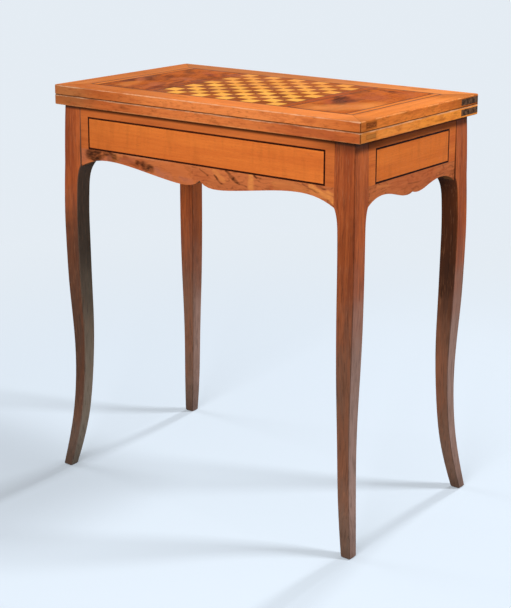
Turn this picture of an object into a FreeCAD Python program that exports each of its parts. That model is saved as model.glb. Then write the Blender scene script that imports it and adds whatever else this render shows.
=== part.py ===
"""Games table with a turning, folding top on a frame with four curved legs.

Millimetres. X runs along the front, the front faces -Y, Z is up, and the origin is on the floor
below the middle of the frame. The top is drawn closed: the marquetry leaf lies on the lower leaf.
"""
import FreeCAD, Part
import math
import os

from FreeCAD import Vector

# Overall sizes
table_height = 730.0
top_length = 658.0
top_depth = 370.0
end_overhang = 16.0
front_overhang = 10.0

# Clearances
glue_line = 0.1
sliding_clearance = 0.3
running_clearance = 0.06
fixed_pin_clearance = 0.02
cut_overrun = 1.0
curve_reading_tolerance = 0.002

# Legs: square posts at the top, sawn to the same curve on both outer faces
post_width = 38.0
post_height = 105.7
leg_arris_easing = 1.1
sole_easing = 2.2
leg_curve_spans = 20
knee_fade_spans = 4
# Each station: height as a share of the curved part's, how far the outer faces stand outside the
# frame and how thick the leg is, both as shares of post_width
leg_station_shares = (
    (0.0, 0.405, 0.49),
    (0.075, 0.222, 0.55),
    (0.17, 0.035, 0.595),
    (0.27, -0.075, 0.617),
    (0.375, -0.105, 0.665),
    (0.49, -0.05, 0.75),
    (0.61, 0.045, 0.82),
    (0.73, 0.095, 0.85),
    (0.85, 0.117, 0.857),
    (0.935, 0.096, 0.873),
    (0.97, 0.079, 0.895),
    (0.987, 0.068, 0.935),
)
# Beside the apron the inner faces are the post's own, and the knee fades out: each height up the
# post as a share of post_height, and how far the outer faces stand out as a share of post_width
knee_fade_shares = (
    (0.0, 0.066),
    (0.28, 0.056),
    (0.6, 0.036),
    (1.0, 0.0),
)

# Rails and their aprons
rail_thickness = 18.0
veneer_thickness = 1.2
apron_drop = 34.0
apron_curve_spans = 26
# Half outlines from the middle to the leg: along as a share of the half rail, down as a share of
# apron_drop below the frieze
long_apron_shares = (
    (0.0, 0.72),
    (0.04, 0.94),
    (0.135, 1.05),
    (0.255, 0.965),
    (0.4, 0.8),
    (0.547, 0.625),
    (0.72, 0.495),
    (0.858, 0.56),
    (0.942, 0.75),
    (1.0, 0.97),
)
short_apron_shares = (
    (0.0, 0.91),
    (0.044, 0.975),
    (0.146, 1.0),
    (0.255, 0.94),
    (0.35, 0.835),
    (0.46, 0.725),
    (0.584, 0.64),
    (0.708, 0.625),
    (0.818, 0.69),
    (0.91, 0.82),
    (1.0, 1.03),
)
tenon_thickness = 7.0
tenon_length = 22.0
tenon_shoulder_below_top = 12.0
tenon_height = 71.0
peg_size = 5.0
peg_length = 34.0
# Peg heights as shares of the tenon's height, staggered so that the pegs miss each other
long_peg_shares = (0.3, 0.82)
short_peg_shares = (0.47, 0.65)

# Frieze marquetry
string_width = 3.3
frieze_string_below_top = 17.8
frieze_string_height = 55.2
long_string_inset = 19.5
short_string_inset = 23.0

# Bearing felts on the rails
felt_thickness = 1.2
felt_width = 10.0
felt_end_inset = 6.0

# Well for cards and men
well_depth = 74.2
well_bottom_thickness = 6.0
runner_size = 8.0
well_clearance = 0.5

# Leaves of the top
leaf_thickness = 17.5
leaf_gap = 0.3
leaf_arris_chamfer = 1.1
front_corner_radius = 3.5
back_corner_radius = 5.0
border_width = 47.0
leaf_tongue_thickness = 5.0
leaf_tongue_length = 7.0
leaf_tenon_thickness = 6.0
leaf_tenon_width = 26.0
leaf_tenon_edge_distance = 17.0
baize_recess = 1.2
baize_thickness = 1.0
baize_edge_clearance = 0.4

# Marquetry of the upper leaf
squares_per_side = 10
board_margin = 1.3
top_string_width = 2.2
line_width = 1.6
outer_band_width = 11.2
board_band_width = 16.3

# Card table hinges, let into the ends of both leaves at the back
hinge_plate_length = 60.0
hinge_plate_height = 11.0
hinge_plate_thickness = 3.0
plate_arris_chamfer = 0.4
knuckle_radius = 3.6
knuckle_clearance = 0.5
knuckle_width = 9.0
knuckle_side_clearance = 0.3
knuckle_end_inset = 4.0
hinge_block_depth = 8.0
hinge_pin_radius = 1.4

# Pivot of the turning top
pivot_rail_width = 50.0
pivot_rail_thickness = 20.0
pivot_rail_below_top = 1.0
pivot_tenon_length = 8.0
pivot_tenon_shoulder = 5.0
pivot_pin_radius = 6.0
pivot_plate_length = 70.0
pivot_plate_width = 50.0
pivot_plate_thickness = 3.0
pivot_washer_radius = 14.0
pivot_washer_thickness = 2.0
pivot_nut_radius = 11.0
pivot_nut_thickness = 8.0
pivot_pin_end = 1.0

# Turn stop below the lower leaf
stop_size = 20.0
stop_height = 20.0

# Places worked out from the sizes
half_length = top_length / 2
half_depth = top_depth / 2
frame_half_length = half_length - end_overhang
frame_half_depth = half_depth - front_overhang
split_height = table_height - leaf_thickness - leaf_gap / 2
lower_leaf_top = split_height - leaf_gap / 2
upper_leaf_bottom = split_height + leaf_gap / 2
top_underside = lower_leaf_top - leaf_thickness
frame_top = top_underside - sliding_clearance - felt_thickness
leg_spring_height = frame_top - post_height
long_rail_half = frame_half_length - post_width
short_rail_half = frame_half_depth - post_width
rail_inset = veneer_thickness + rail_thickness
rail_inner_length = frame_half_length - rail_inset
rail_inner_depth = frame_half_depth - rail_inset
frieze_bottom = frame_top - frieze_string_below_top - frieze_string_height - string_width / 2
tenon_top = frame_top - tenon_shoulder_below_top
tenon_bottom = tenon_top - tenon_height
field_half_length = half_length - border_width
field_half_depth = half_depth - border_width
board_half = field_half_depth - top_string_width - board_margin
square_size = 2 * board_half / squares_per_side
well_floor = frame_top - well_depth
hinge_axis_y = half_depth + leaf_gap / 2
pivot_x = top_depth / 4
pivot_y = top_depth / 4

nodes = {}


def box(x0, x1, y0, y1, z0, z1):
    """A box between two opposite corners, given in any order."""
    low = Vector(min(x0, x1), min(y0, y1), min(z0, z1))
    return Part.makeBox(abs(x1 - x0), abs(y1 - y0), abs(z1 - z0), low)


def prism(points, z0, z1):
    """A polygon drawn flat at z0 and carried up to z1."""
    corners = [Vector(x, y, z0) for x, y in points]
    wire = Part.makePolygon(corners + corners[:1])
    return Part.Face(wire).extrude(Vector(0, 0, z1 - z0))


def rod(radius, start, end):
    """A round rod from one point to another."""
    run = end - start
    return Part.makeCylinder(radius, run.Length, start, run)


def mirrored_x(shape):
    """The same piece at the other end of the table."""
    return shape.mirror(Vector(0, 0, 0), Vector(1, 0, 0))


def mitred_frame(x_half, y_half, width, z0, z1):
    """Four mitred strips round a rectangle, in the order front, right, back, left."""
    def corners(inset):
        x = x_half - inset
        y = y_half - inset
        return [(-x, -y), (x, -y), (x, y), (-x, y)]

    outer = corners(0)
    inner = corners(width)
    strips = []
    for first in range(4):
        second = (first + 1) % 4
        strips.append(prism([outer[first], outer[second], inner[second], inner[first]], z0, z1))
    return strips


# Legs

def smooth_curve(points):
    """One smooth curve through a few points."""
    curve = Part.BSplineCurve()
    curve.interpolate(points)
    return curve


def leg_profile():
    """The outer and inner curves that both faces of every leg are sawn to, as (x, z) curves."""
    outer = []
    inner = []
    for height_share, outset_share, thickness_share in leg_station_shares:
        height = height_share * leg_spring_height
        outer.append(Vector(outset_share * post_width, 0, height))
        inner.append(Vector((outset_share - thickness_share) * post_width, 0, height))
    inner.append(Vector(-post_width, 0, leg_spring_height))
    for height_share, outset_share in knee_fade_shares:
        height = leg_spring_height + height_share * post_height
        outer.append(Vector(outset_share * post_width, 0, height))
    return smooth_curve(outer), smooth_curve(inner)


def offset_at(curve, height):
    """How far a profile curve stands outside the frame's corner at one height, by halving."""
    low = curve.FirstParameter
    high = curve.LastParameter
    while curve.value(high).z - curve.value(low).z > curve_reading_tolerance:
        middle = (low + high) / 2
        if curve.value(middle).z < height:
            low = middle
        else:
            high = middle
    return curve.value(low).x


def leg_section(x_sign, y_sign, height, outer, inner):
    """A level section of a leg: a square with its four arrises eased."""
    x0, x1 = sorted((x_sign * (frame_half_length + inner), x_sign * (frame_half_length + outer)))
    y0, y1 = sorted((y_sign * (frame_half_depth + inner), y_sign * (frame_half_depth + outer)))
    e = leg_arris_easing
    points = [
        (x0 + e, y0), (x1 - e, y0), (x1, y0 + e), (x1, y1 - e),
        (x1 - e, y1), (x0 + e, y1), (x0, y1 - e), (x0, y0 + e),
    ]
    corners = [Vector(x, y, height) for x, y in points]
    return Part.makePolygon(corners + corners[:1])


def leg(x_sign, y_sign):
    """A curved leg under a square post, with mortises for two rails and blind peg holes."""
    outer_curve, inner_curve = leg_profile()
    curved = []
    for i in range(leg_curve_spans):
        height = sole_easing + (leg_spring_height - sole_easing) * i / leg_curve_spans
        outer = offset_at(outer_curve, height)
        inner = offset_at(inner_curve, height)
        curved.append(leg_section(x_sign, y_sign, height, outer, inner))
    knee = []
    for i in range(knee_fade_spans):
        height = leg_spring_height + post_height * i / knee_fade_spans
        outer = offset_at(outer_curve, height)
        knee.append(leg_section(x_sign, y_sign, height, outer, -post_width))
    knee.append(leg_section(x_sign, y_sign, frame_top, 0, -post_width))
    curved.append(knee[0])
    outer = offset_at(outer_curve, sole_easing) - sole_easing
    inner = offset_at(inner_curve, sole_easing) + sole_easing
    sole = [leg_section(x_sign, y_sign, 0, outer, inner), curved[0]]
    shape = Part.makeLoft(curved, True, False)
    shape = shape.fuse(Part.makeLoft(knee, True, False)).fuse(Part.makeLoft(sole, True, True)).removeSplitter()
    for tool in leg_mortises(x_sign, y_sign) + leg_pegs(x_sign, y_sign, glue_line):
        shape = shape.cut(tool)
    return shape


def tenon_band(frame_half):
    """Where a rail's tenon lies across its thickness, measured from the frame's middle."""
    middle = frame_half - veneer_thickness - rail_thickness / 2
    return middle - tenon_thickness / 2, middle + tenon_thickness / 2


def leg_mortises(x_sign, y_sign):
    """The two mortises in one post, a glue line larger than the tenons."""
    z0 = tenon_bottom - glue_line
    z1 = tenon_top + glue_line
    y0, y1 = tenon_band(frame_half_depth)
    x0, x1 = tenon_band(frame_half_length)
    long_end = long_rail_half + tenon_length + glue_line
    short_end = short_rail_half + tenon_length + glue_line
    long_mortise = box(x_sign * (long_rail_half - cut_overrun), x_sign * long_end,
                       y_sign * (y0 - glue_line), y_sign * (y1 + glue_line), z0, z1)
    short_mortise = box(x_sign * (x0 - glue_line), x_sign * (x1 + glue_line),
                        y_sign * (short_rail_half - cut_overrun), y_sign * short_end, z0, z1)
    return [long_mortise, short_mortise]


def leg_pegs(x_sign, y_sign, clearance):
    """Square riven pegs driven blind through the tenons from inside the frame."""
    pegs = []
    half = peg_size / 2 + clearance
    length = peg_length + clearance
    x = x_sign * (long_rail_half + tenon_length / 2)
    y = y_sign * short_rail_half
    for share in long_peg_shares:
        z = tenon_bottom + share * tenon_height
        pegs.append(box(x - half, x + half, y, y + y_sign * length, z - half, z + half))
    x = x_sign * long_rail_half
    y = y_sign * (short_rail_half + tenon_length / 2)
    for share in short_peg_shares:
        z = tenon_bottom + share * tenon_height
        pegs.append(box(x, x + x_sign * length, y - half, y + half, z - half, z + half))
    return pegs


# Rails and frieze marquetry, drawn along X with the outer face at y = 0, then set in place

def apron_edge(half, shares):
    """The lower edge of an apron, left to right: two smooth curves that meet in a cusp."""
    stations = [Vector(along * half, 0, frieze_bottom - down * apron_drop) for along, down in shares]
    curve = smooth_curve(stations)
    run = curve.LastParameter - curve.FirstParameter
    right = []
    for i in range(apron_curve_spans + 1):
        right.append(curve.value(curve.FirstParameter + run * i / apron_curve_spans))
    left = [Vector(-point.x, 0, point.z) for point in reversed(right)]
    return left[:-1] + right


def apron_board(half, shares, top, y0, y1):
    """A board with the apron's shaped lower edge."""
    corners = apron_edge(half, shares) + [Vector(half, 0, top), Vector(-half, 0, top)]
    face = Part.Face(Part.makePolygon(corners + corners[:1]))
    face.translate(Vector(0, y0, 0))
    return face.extrude(Vector(0, y1 - y0, 0))


def rail_pieces(half, shares, inset):
    """The rail, its veneers, its felt and the runner for the well, for one side of the frame."""
    inner = veneer_thickness + rail_thickness
    rail = apron_board(half - glue_line, shares, frame_top, veneer_thickness, inner)
    tenon_y0 = veneer_thickness + (rail_thickness - tenon_thickness) / 2
    tenon_y1 = tenon_y0 + tenon_thickness
    tenon_end = half + tenon_length
    for sign in (-1, 1):
        start = sign * (half - cut_overrun)
        tenon = box(start, sign * tenon_end, tenon_y0, tenon_y1, tenon_bottom, tenon_top)
        rail = rail.fuse(tenon)
    rail = rail.removeSplitter()

    x_half = half - inset + string_width / 2
    z_half = (frieze_string_height + string_width) / 2
    middle = frieze_bottom + z_half
    strings = mitred_frame(x_half, z_half, string_width, -veneer_thickness, 0)
    for strip in strings:
        strip.rotate(Vector(0, 0, 0), Vector(1, 0, 0), 90)
        strip.translate(Vector(0, 0, middle))
    field_x = x_half - string_width
    field_z = z_half - string_width
    field = box(-field_x, field_x, 0, veneer_thickness, middle - field_z, middle + field_z)
    band_top = box(-x_half, x_half, 0, veneer_thickness, middle + z_half, frame_top)
    bands = [band_top]
    for sign in (-1, 1):
        end = sign * (half - glue_line)
        bands.append(box(sign * x_half, end, 0, veneer_thickness, frieze_bottom, frame_top))
    apron = apron_board(half - glue_line, shares, frieze_bottom, 0, veneer_thickness)

    felt_middle = veneer_thickness + rail_thickness / 2
    felt_x = half - felt_end_inset
    felt = box(-felt_x, felt_x, felt_middle - felt_width / 2, felt_middle + felt_width / 2,
               frame_top, frame_top + felt_thickness)
    runner_top = well_floor - well_bottom_thickness
    runner = box(-half + glue_line, half - glue_line, inner, inner + runner_size,
                 runner_top - runner_size, runner_top)
    return {
        "rail": [rail],
        "frieze_stringing": strings,
        "frieze_field": [field],
        "frieze_banding": bands,
        "apron_veneer": [apron],
        "felt": [felt],
        "runner": [runner],
    }


def place_side(shape, turn, x, y):
    """Turns a piece drawn for the front and moves it to its side of the frame."""
    placed = shape.copy()
    placed.rotate(Vector(0, 0, 0), Vector(0, 0, 1), turn)
    placed.translate(Vector(x, y, 0))
    return placed


def build_sides():
    """All four sides, with the felts and the well's runners gathered into one node each."""
    long_pieces = rail_pieces(long_rail_half, long_apron_shares, long_string_inset)
    short_pieces = rail_pieces(short_rail_half, short_apron_shares, short_string_inset)
    sides = (
        ("front", long_pieces, 0, 0, -frame_half_depth),
        ("right", short_pieces, 90, frame_half_length, 0),
        ("back", long_pieces, 180, 0, frame_half_depth),
        ("left", short_pieces, 270, -frame_half_length, 0),
    )
    felts = []
    runners = []
    for side, pieces, turn, x, y in sides:
        placed = {}
        for kind, shapes in pieces.items():
            placed[kind] = [place_side(shape, turn, x, y) for shape in shapes]
        felts += placed.pop("felt")
        runners += placed.pop("runner")
        for kind, shapes in placed.items():
            nodes[side + "_" + kind] = shapes
    nodes["bearing_felts"] = felts
    nodes["well_runners"] = runners


def peg_holes_in_rails():
    """Drills the tenons for the pegs."""
    for x_sign in (-1, 1):
        for y_sign in (-1, 1):
            holes = leg_pegs(x_sign, y_sign, glue_line)
            long_side = "front_rail" if y_sign < 0 else "back_rail"
            short_side = "left_rail" if x_sign < 0 else "right_rail"
            for side in (long_side, short_side):
                for hole in holes:
                    nodes[side][0] = nodes[side][0].cut(hole)


# Inside of the frame

def pivot_rail_shape(clearance):
    """The rail under the pivot, with a stub tenon into the front and back rails."""
    top = frame_top - pivot_rail_below_top
    bottom = top - pivot_rail_thickness
    x0 = pivot_x - pivot_rail_width / 2
    x1 = pivot_x + pivot_rail_width / 2
    y_end = rail_inner_depth - glue_line
    body = box(x0, x1, -y_end, y_end, bottom, top)
    shoulder = pivot_tenon_shoulder - clearance
    y_tenon = rail_inner_depth + pivot_tenon_length + clearance
    tenon = box(x0 + shoulder, x1 - shoulder, -y_tenon, y_tenon, bottom + shoulder, top - shoulder)
    return body.fuse(tenon).removeSplitter()


def build_inside():
    """The pivot rail, and the bottom of the well on its runners."""
    housing = pivot_rail_shape(glue_line)
    for side in ("front_rail", "back_rail"):
        nodes[side][0] = nodes[side][0].cut(housing)
    bore = rod(pivot_pin_radius + running_clearance, Vector(pivot_x, pivot_y, well_floor),
               Vector(pivot_x, pivot_y, table_height))
    nodes["pivot_rail"] = [pivot_rail_shape(0).cut(bore)]

    x = rail_inner_length - well_clearance
    y = rail_inner_depth - well_clearance
    bottom = box(-x, x, -y, y, well_floor - well_bottom_thickness, well_floor)
    for x_sign in (-1, 1):
        for y_sign in (-1, 1):
            post = box(x_sign * (long_rail_half - well_clearance), x_sign * frame_half_length,
                       y_sign * (short_rail_half - well_clearance), y_sign * frame_half_depth,
                       0, frame_top)
            bottom = bottom.cut(post)
    nodes["well_bottom"] = [bottom]


# Hinges, drawn at the right end

def hinge_parts(lower):
    """One half of a card table hinge and the pocket that it needs in its leaf."""
    leaf_middle = (top_underside + lower_leaf_top) / 2
    if not lower:
        leaf_middle = (upper_leaf_bottom + table_height) / 2
    z0 = leaf_middle - hinge_plate_height / 2
    z1 = leaf_middle + hinge_plate_height / 2
    plate_end = half_depth - hinge_plate_length
    plate_x = half_length - hinge_plate_thickness
    knuckle_end = half_length - knuckle_end_inset
    block_x = knuckle_end - knuckle_width
    block_y = half_depth - hinge_block_depth
    neck_y = hinge_axis_y - knuckle_radius
    plate = box(plate_x, half_length, plate_end, half_depth, z0, z1)
    block = box(block_x, half_length, block_y, half_depth, z0, z1)
    swing = rod(knuckle_radius + knuckle_clearance,
                Vector(block_x - knuckle_side_clearance, hinge_axis_y, split_height),
                Vector(knuckle_end + knuckle_side_clearance, hinge_axis_y, split_height))
    half = plate.fuse(block).common(worn_slab(z0, z1, plate_arris_chamfer)).cut(swing)

    tongue = (knuckle_width - 2 * knuckle_side_clearance) / 3
    if lower:
        lugs = [(block_x, block_x + tongue), (knuckle_end - tongue, knuckle_end)]
        hole_radius = hinge_pin_radius + fixed_pin_clearance
    else:
        start = block_x + tongue + knuckle_side_clearance
        lugs = [(start, start + tongue)]
        hole_radius = hinge_pin_radius + running_clearance
    for x0, x1 in lugs:
        disc = rod(knuckle_radius, Vector(x0, hinge_axis_y, split_height),
                   Vector(x1, hinge_axis_y, split_height))
        neck = box(x0, x1, neck_y, half_depth, leaf_middle, split_height)
        half = half.fuse(disc).fuse(neck)
    hole = rod(hole_radius, Vector(block_x - cut_overrun, hinge_axis_y, split_height),
               Vector(knuckle_end + cut_overrun, hinge_axis_y, split_height))
    half = half.cut(hole).removeSplitter()

    g = glue_line
    out = cut_overrun
    plate_pocket = box(plate_x - g, half_length + out, plate_end - g, half_depth + out, z0 - g, z1 + g)
    block_pocket = box(block_x - g, half_length + out, block_y - g, half_depth + out, z0 - g, z1 + g)
    neck_pocket = box(block_x - g, knuckle_end + g, neck_y - g, half_depth + out,
                      leaf_middle, split_height)
    pocket = plate_pocket.fuse(block_pocket).fuse(neck_pocket).fuse(swing)
    return half, pocket


# Leaves of the top

def leaf_tenons(z_middle, clearance):
    """The four through tenons on the long borders of a leaf, as (x_sign, y_sign, shape)."""
    tenons = []
    z0 = z_middle - leaf_tenon_thickness / 2 - clearance
    z1 = z_middle + leaf_tenon_thickness / 2 + clearance
    for x_sign in (-1, 1):
        for y_sign in (-1, 1):
            y_outer = half_depth - leaf_tenon_edge_distance + clearance
            y_inner = half_depth - leaf_tenon_edge_distance - leaf_tenon_width - clearance
            x_inner = half_length - border_width
            x_outer = half_length + (cut_overrun if clearance else 0)
            shape = box(x_sign * x_inner, x_sign * x_outer, y_sign * y_inner, y_sign * y_outer, z0, z1)
            tenons.append((x_sign, y_sign, shape))
    return tenons


def worn_slab(z0, z1, arris_chamfer):
    """The whole block of a leaf, its corners rounded and its level arrises worn off."""
    slab = box(-half_length, half_length, -half_depth, half_depth, z0, z1)
    middle = (z0 + z1) / 2
    for radius, y_sign in ((front_corner_radius, -1), (back_corner_radius, 1)):
        uprights = []
        for edge in slab.Edges:
            place = edge.CenterOfMass
            if abs(place.z - middle) < arris_chamfer and place.y * y_sign > 0:
                uprights.append(edge)
        slab = slab.makeFillet(radius, uprights)
    arrises = [edge for edge in slab.Edges if abs(edge.CenterOfMass.z - middle) > arris_chamfer]
    return slab.makeChamfer(arris_chamfer, arrises)


def leaf_wood(z0, z1, panel_z0, panel_z1, pocket):
    """A leaf's tongued panel and its four mitred borders, with the hinge pockets cut."""
    middle = (z0 + z1) / 2
    front, right, back, left = mitred_frame(half_length, half_depth, border_width, z0, z1)
    borders = {"front": front, "right": right, "back": back, "left": left}
    for x_sign, y_sign, tenon in leaf_tenons(middle, 0):
        name = "front" if y_sign < 0 else "back"
        borders[name] = borders[name].fuse(tenon)
    for x_sign, y_sign, mortise in leaf_tenons(middle, glue_line):
        name = "left" if x_sign < 0 else "right"
        borders[name] = borders[name].cut(mortise)

    def tongues(growth):
        """The panel's tongues as two crossing slabs, or the groove for them when grown."""
        x = field_half_length
        y = field_half_depth
        reach = leaf_tongue_length + growth
        low = middle - leaf_tongue_thickness / 2 - growth
        high = middle + leaf_tongue_thickness / 2 + growth
        along = box(-x - reach, x + reach, -y, y, low, high)
        across = box(-x, x, -y - reach, y + reach, low, high)
        return along.fuse(across)

    groove = tongues(glue_line)
    slab = worn_slab(z0, z1, leaf_arris_chamfer)
    cutters = [groove, pocket, mirrored_x(pocket)]
    for name in borders:
        borders[name] = borders[name].common(slab)
        for cutter in cutters:
            borders[name] = borders[name].cut(cutter)
        borders[name] = borders[name].removeSplitter()
    x = field_half_length - glue_line
    y = field_half_depth - glue_line
    panel = box(-x, x, -y, y, panel_z0, panel_z1).fuse(tongues(0)).removeSplitter()
    return panel, borders


def baize_sheet(z0):
    """The cloth lining let into the inner face of a leaf."""
    x = field_half_length - baize_edge_clearance
    y = field_half_depth - baize_edge_clearance
    return box(-x, x, -y, y, z0, z0 + baize_thickness)


def build_lower_leaf():
    """The leaf that turns on the frame, with its pivot, its stop and its half of the hinges."""
    half, pocket = hinge_parts(True)
    panel_top = lower_leaf_top - baize_recess
    panel, borders = leaf_wood(top_underside, lower_leaf_top, top_underside, panel_top, pocket)

    plate_z1 = top_underside + pivot_plate_thickness
    x0 = pivot_x - pivot_plate_length / 2
    x1 = pivot_x + pivot_plate_length / 2
    y0 = pivot_y - pivot_plate_width / 2
    y1 = pivot_y + pivot_plate_width / 2
    g = glue_line
    plate = box(x0, x1, y0, y1, top_underside, plate_z1)
    panel = panel.cut(box(x0 - g, x1 + g, y0 - g, y1 + g, top_underside - cut_overrun, plate_z1))
    rail_bottom = frame_top - pivot_rail_below_top - pivot_rail_thickness
    washer_top = rail_bottom - sliding_clearance
    nut_top = washer_top - pivot_washer_thickness
    nut_bottom = nut_top - pivot_nut_thickness
    pin_bottom = nut_bottom - pivot_pin_end

    def on_axis(z):
        return Vector(pivot_x, pivot_y, z)

    fit = rod(pivot_pin_radius + fixed_pin_clearance, on_axis(pin_bottom), on_axis(plate_z1))
    plate = plate.cut(fit)

    stop_reach = rail_inner_depth - sliding_clearance
    stop_inner = stop_reach - stop_size
    stop_bottom = top_underside - stop_height
    stop = box(-stop_reach, -stop_inner, stop_inner, stop_reach, stop_bottom, top_underside)

    hex_points = []
    for i in range(6):
        angle = i * math.pi / 3
        hex_points.append((pivot_x + pivot_nut_radius * math.cos(angle),
                           pivot_y + pivot_nut_radius * math.sin(angle)))
    washer = rod(pivot_washer_radius, on_axis(nut_top), on_axis(washer_top)).cut(fit)
    nut = prism(hex_points, nut_bottom, nut_top).cut(fit)

    nodes["lower_panel"] = [panel]
    nodes["lower_front_border"] = [borders["front"]]
    nodes["lower_back_border"] = [borders["back"]]
    nodes["lower_left_border"] = [borders["left"]]
    nodes["lower_right_border"] = [borders["right"]]
    nodes["lower_baize"] = [baize_sheet(panel_top)]
    nodes["pivot_plate"] = [plate]
    nodes["pivot_pin"] = [rod(pivot_pin_radius, on_axis(pin_bottom), on_axis(plate_z1))]
    nodes["pivot_washer"] = [washer]
    nodes["pivot_nut"] = [nut]
    nodes["turn_stop"] = [stop]
    nodes["lower_hinge_plates"] = [half, mirrored_x(half)]
    knuckle_end = half_length - knuckle_end_inset
    pin = rod(hinge_pin_radius, Vector(knuckle_end - knuckle_width, hinge_axis_y, split_height),
              Vector(knuckle_end, hinge_axis_y, split_height))
    nodes["hinge_pins"] = [pin, mirrored_x(pin)]


def build_marquetry():
    """The chequered board, bands, strings and figured panels on the upper leaf."""
    z0 = table_height - veneer_thickness
    z1 = table_height
    string = top_string_width
    nodes["top_stringing"] = mitred_frame(field_half_length, field_half_depth, string, z0, z1)
    y = field_half_depth - string
    outer = field_half_length - string
    band_inner = outer - outer_band_width
    panel_outer = band_inner - line_width
    line_inner = board_half + line_width
    band_outer = line_inner + board_band_width
    panel_inner = band_outer + line_width

    def pair(x0, x1):
        """The same strip at both ends of the board."""
        return [box(sign * x0, sign * x1, -y, y, z0, z1) for sign in (-1, 1)]

    nodes["outer_bands"] = pair(band_inner, outer)
    nodes["top_stringing"] += pair(panel_outer, band_inner)
    nodes["top_stringing"] += pair(band_outer, panel_inner)
    nodes["top_stringing"] += pair(board_half, line_inner)
    left_panel, right_panel = pair(panel_inner, panel_outer)
    nodes["left_figured_panel"] = [left_panel]
    nodes["right_figured_panel"] = [right_panel]
    nodes["board_bands"] = pair(line_inner, band_outer)
    for sign in (-1, 1):
        nodes["board_bands"].append(box(-board_half, board_half, sign * board_half, sign * y, z0, z1))
    nodes["light_squares"] = []
    nodes["dark_squares"] = []
    for column in range(squares_per_side):
        for row in range(squares_per_side):
            x0 = -board_half + column * square_size
            y0 = -board_half + row * square_size
            tile = box(x0, x0 + square_size, y0, y0 + square_size, z0, z1)
            kind = "light_squares" if (column + row) % 2 else "dark_squares"
            nodes[kind].append(tile)


def build_upper_leaf():
    """The leaf that folds, with the marquetry on its outer face."""
    half, pocket = hinge_parts(False)
    panel_bottom = upper_leaf_bottom + baize_recess
    panel_top = table_height - veneer_thickness
    panel, borders = leaf_wood(upper_leaf_bottom, table_height, panel_bottom, panel_top, pocket)
    nodes["upper_panel"] = [panel]
    for name, shape in borders.items():
        nodes["upper_" + name + "_border"] = [shape]
    nodes["upper_baize"] = [baize_sheet(panel_bottom - baize_thickness)]
    nodes["upper_hinge_plates"] = [half, mirrored_x(half)]
    build_marquetry()


def build_table():
    """Every piece of the table."""
    build_sides()
    peg_holes_in_rails()
    build_inside()
    pegs = []
    for y_name, y_sign in (("front", -1), ("back", 1)):
        for x_name, x_sign in (("left", -1), ("right", 1)):
            nodes[y_name + "_" + x_name + "_leg"] = [leg(x_sign, y_sign)]
            pegs += leg_pegs(x_sign, y_sign, 0)
    nodes["tenon_pegs"] = pegs
    build_lower_leaf()
    build_upper_leaf()


build_table()
os.makedirs("parts", exist_ok=True)
for name, shapes in nodes.items():
    solids = []
    for shape in shapes:
        solids += shape.Solids
    piece = solids[0] if len(solids) == 1 else Part.makeCompound(solids)
    piece.exportStep("parts/" + name + ".step")
    volume = sum(solid.Volume for solid in solids)
    print(name, len(solids), "solids", round(volume), "mm3", "valid" if piece.isValid() else "INVALID")
print(len(nodes), "nodes")
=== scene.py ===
# %% [markdown]
# A small games table for two players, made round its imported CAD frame. Four curved legs carry four rails with a
# shaped apron. On them lies a double top: it turns a quarter on a pivot and unfolds like a book to show baize.
# The CAD parts already have the right shape, so this lesson spends its effort on the camera, the light, the
# woods and the few small pieces that are too fine for CAD: slotted screws, cloth linings and felt strips.

# %% Load the frame
import math
import bmesh
import bpy
from mathutils import Matrix, Vector, noise


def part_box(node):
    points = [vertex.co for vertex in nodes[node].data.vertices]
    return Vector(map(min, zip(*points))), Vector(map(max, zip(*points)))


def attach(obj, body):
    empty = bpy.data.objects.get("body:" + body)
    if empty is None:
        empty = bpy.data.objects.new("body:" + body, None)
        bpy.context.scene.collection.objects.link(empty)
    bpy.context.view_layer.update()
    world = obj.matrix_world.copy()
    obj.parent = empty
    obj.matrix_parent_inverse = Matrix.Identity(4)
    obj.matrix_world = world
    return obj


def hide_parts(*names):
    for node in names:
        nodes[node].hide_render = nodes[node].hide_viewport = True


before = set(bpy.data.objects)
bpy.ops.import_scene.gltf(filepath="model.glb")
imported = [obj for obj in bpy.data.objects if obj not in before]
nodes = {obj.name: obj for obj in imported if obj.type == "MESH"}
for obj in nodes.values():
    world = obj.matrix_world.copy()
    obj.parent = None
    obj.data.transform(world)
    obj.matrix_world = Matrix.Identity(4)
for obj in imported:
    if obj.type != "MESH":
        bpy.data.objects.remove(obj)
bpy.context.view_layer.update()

scene = bpy.context.scene

# %% [markdown]
# From a few of these come the top's outline, the heights of the two leaves and the outside of the frame. A
# piece that is moved in the CAD takes its looks along with it.

# %% Measure the table
MM = 0.001
SIDES = (("front", "X"), ("right", "Y"), ("back", "X"), ("left", "Y"))
LEAF_HEIGHTS = {leaf: [corner.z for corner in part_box(leaf + "_front_border")] for leaf in ("lower", "upper")}
TABLE_TOP = LEAF_HEIGHTS["upper"][1]
HALF_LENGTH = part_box("upper_right_border")[1].x
HALF_DEPTH = -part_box("upper_front_border")[0].y
POST_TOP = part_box("front_right_leg")[1].z
FRAME_HALF_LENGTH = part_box("right_frieze_field")[1].x
FRAME_HALF_DEPTH = -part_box("front_frieze_field")[0].y
print("top", round(2 * HALF_LENGTH, 4), "by", round(2 * HALF_DEPTH, 4), "m, at", round(TABLE_TOP, 4), "m")

# %% [markdown]
# The camera stands to the right of the front and a little above the top, over two and a half metres away, with a
# long lens, as furniture is photographed. Its angles could be guessed by eye, but straight edges show every mistake,
# so its place was solved from the corners of the table. The lens is given in points of the picture and turned into
# millimetres of the sensor, which lies along the picture's long side.

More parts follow.
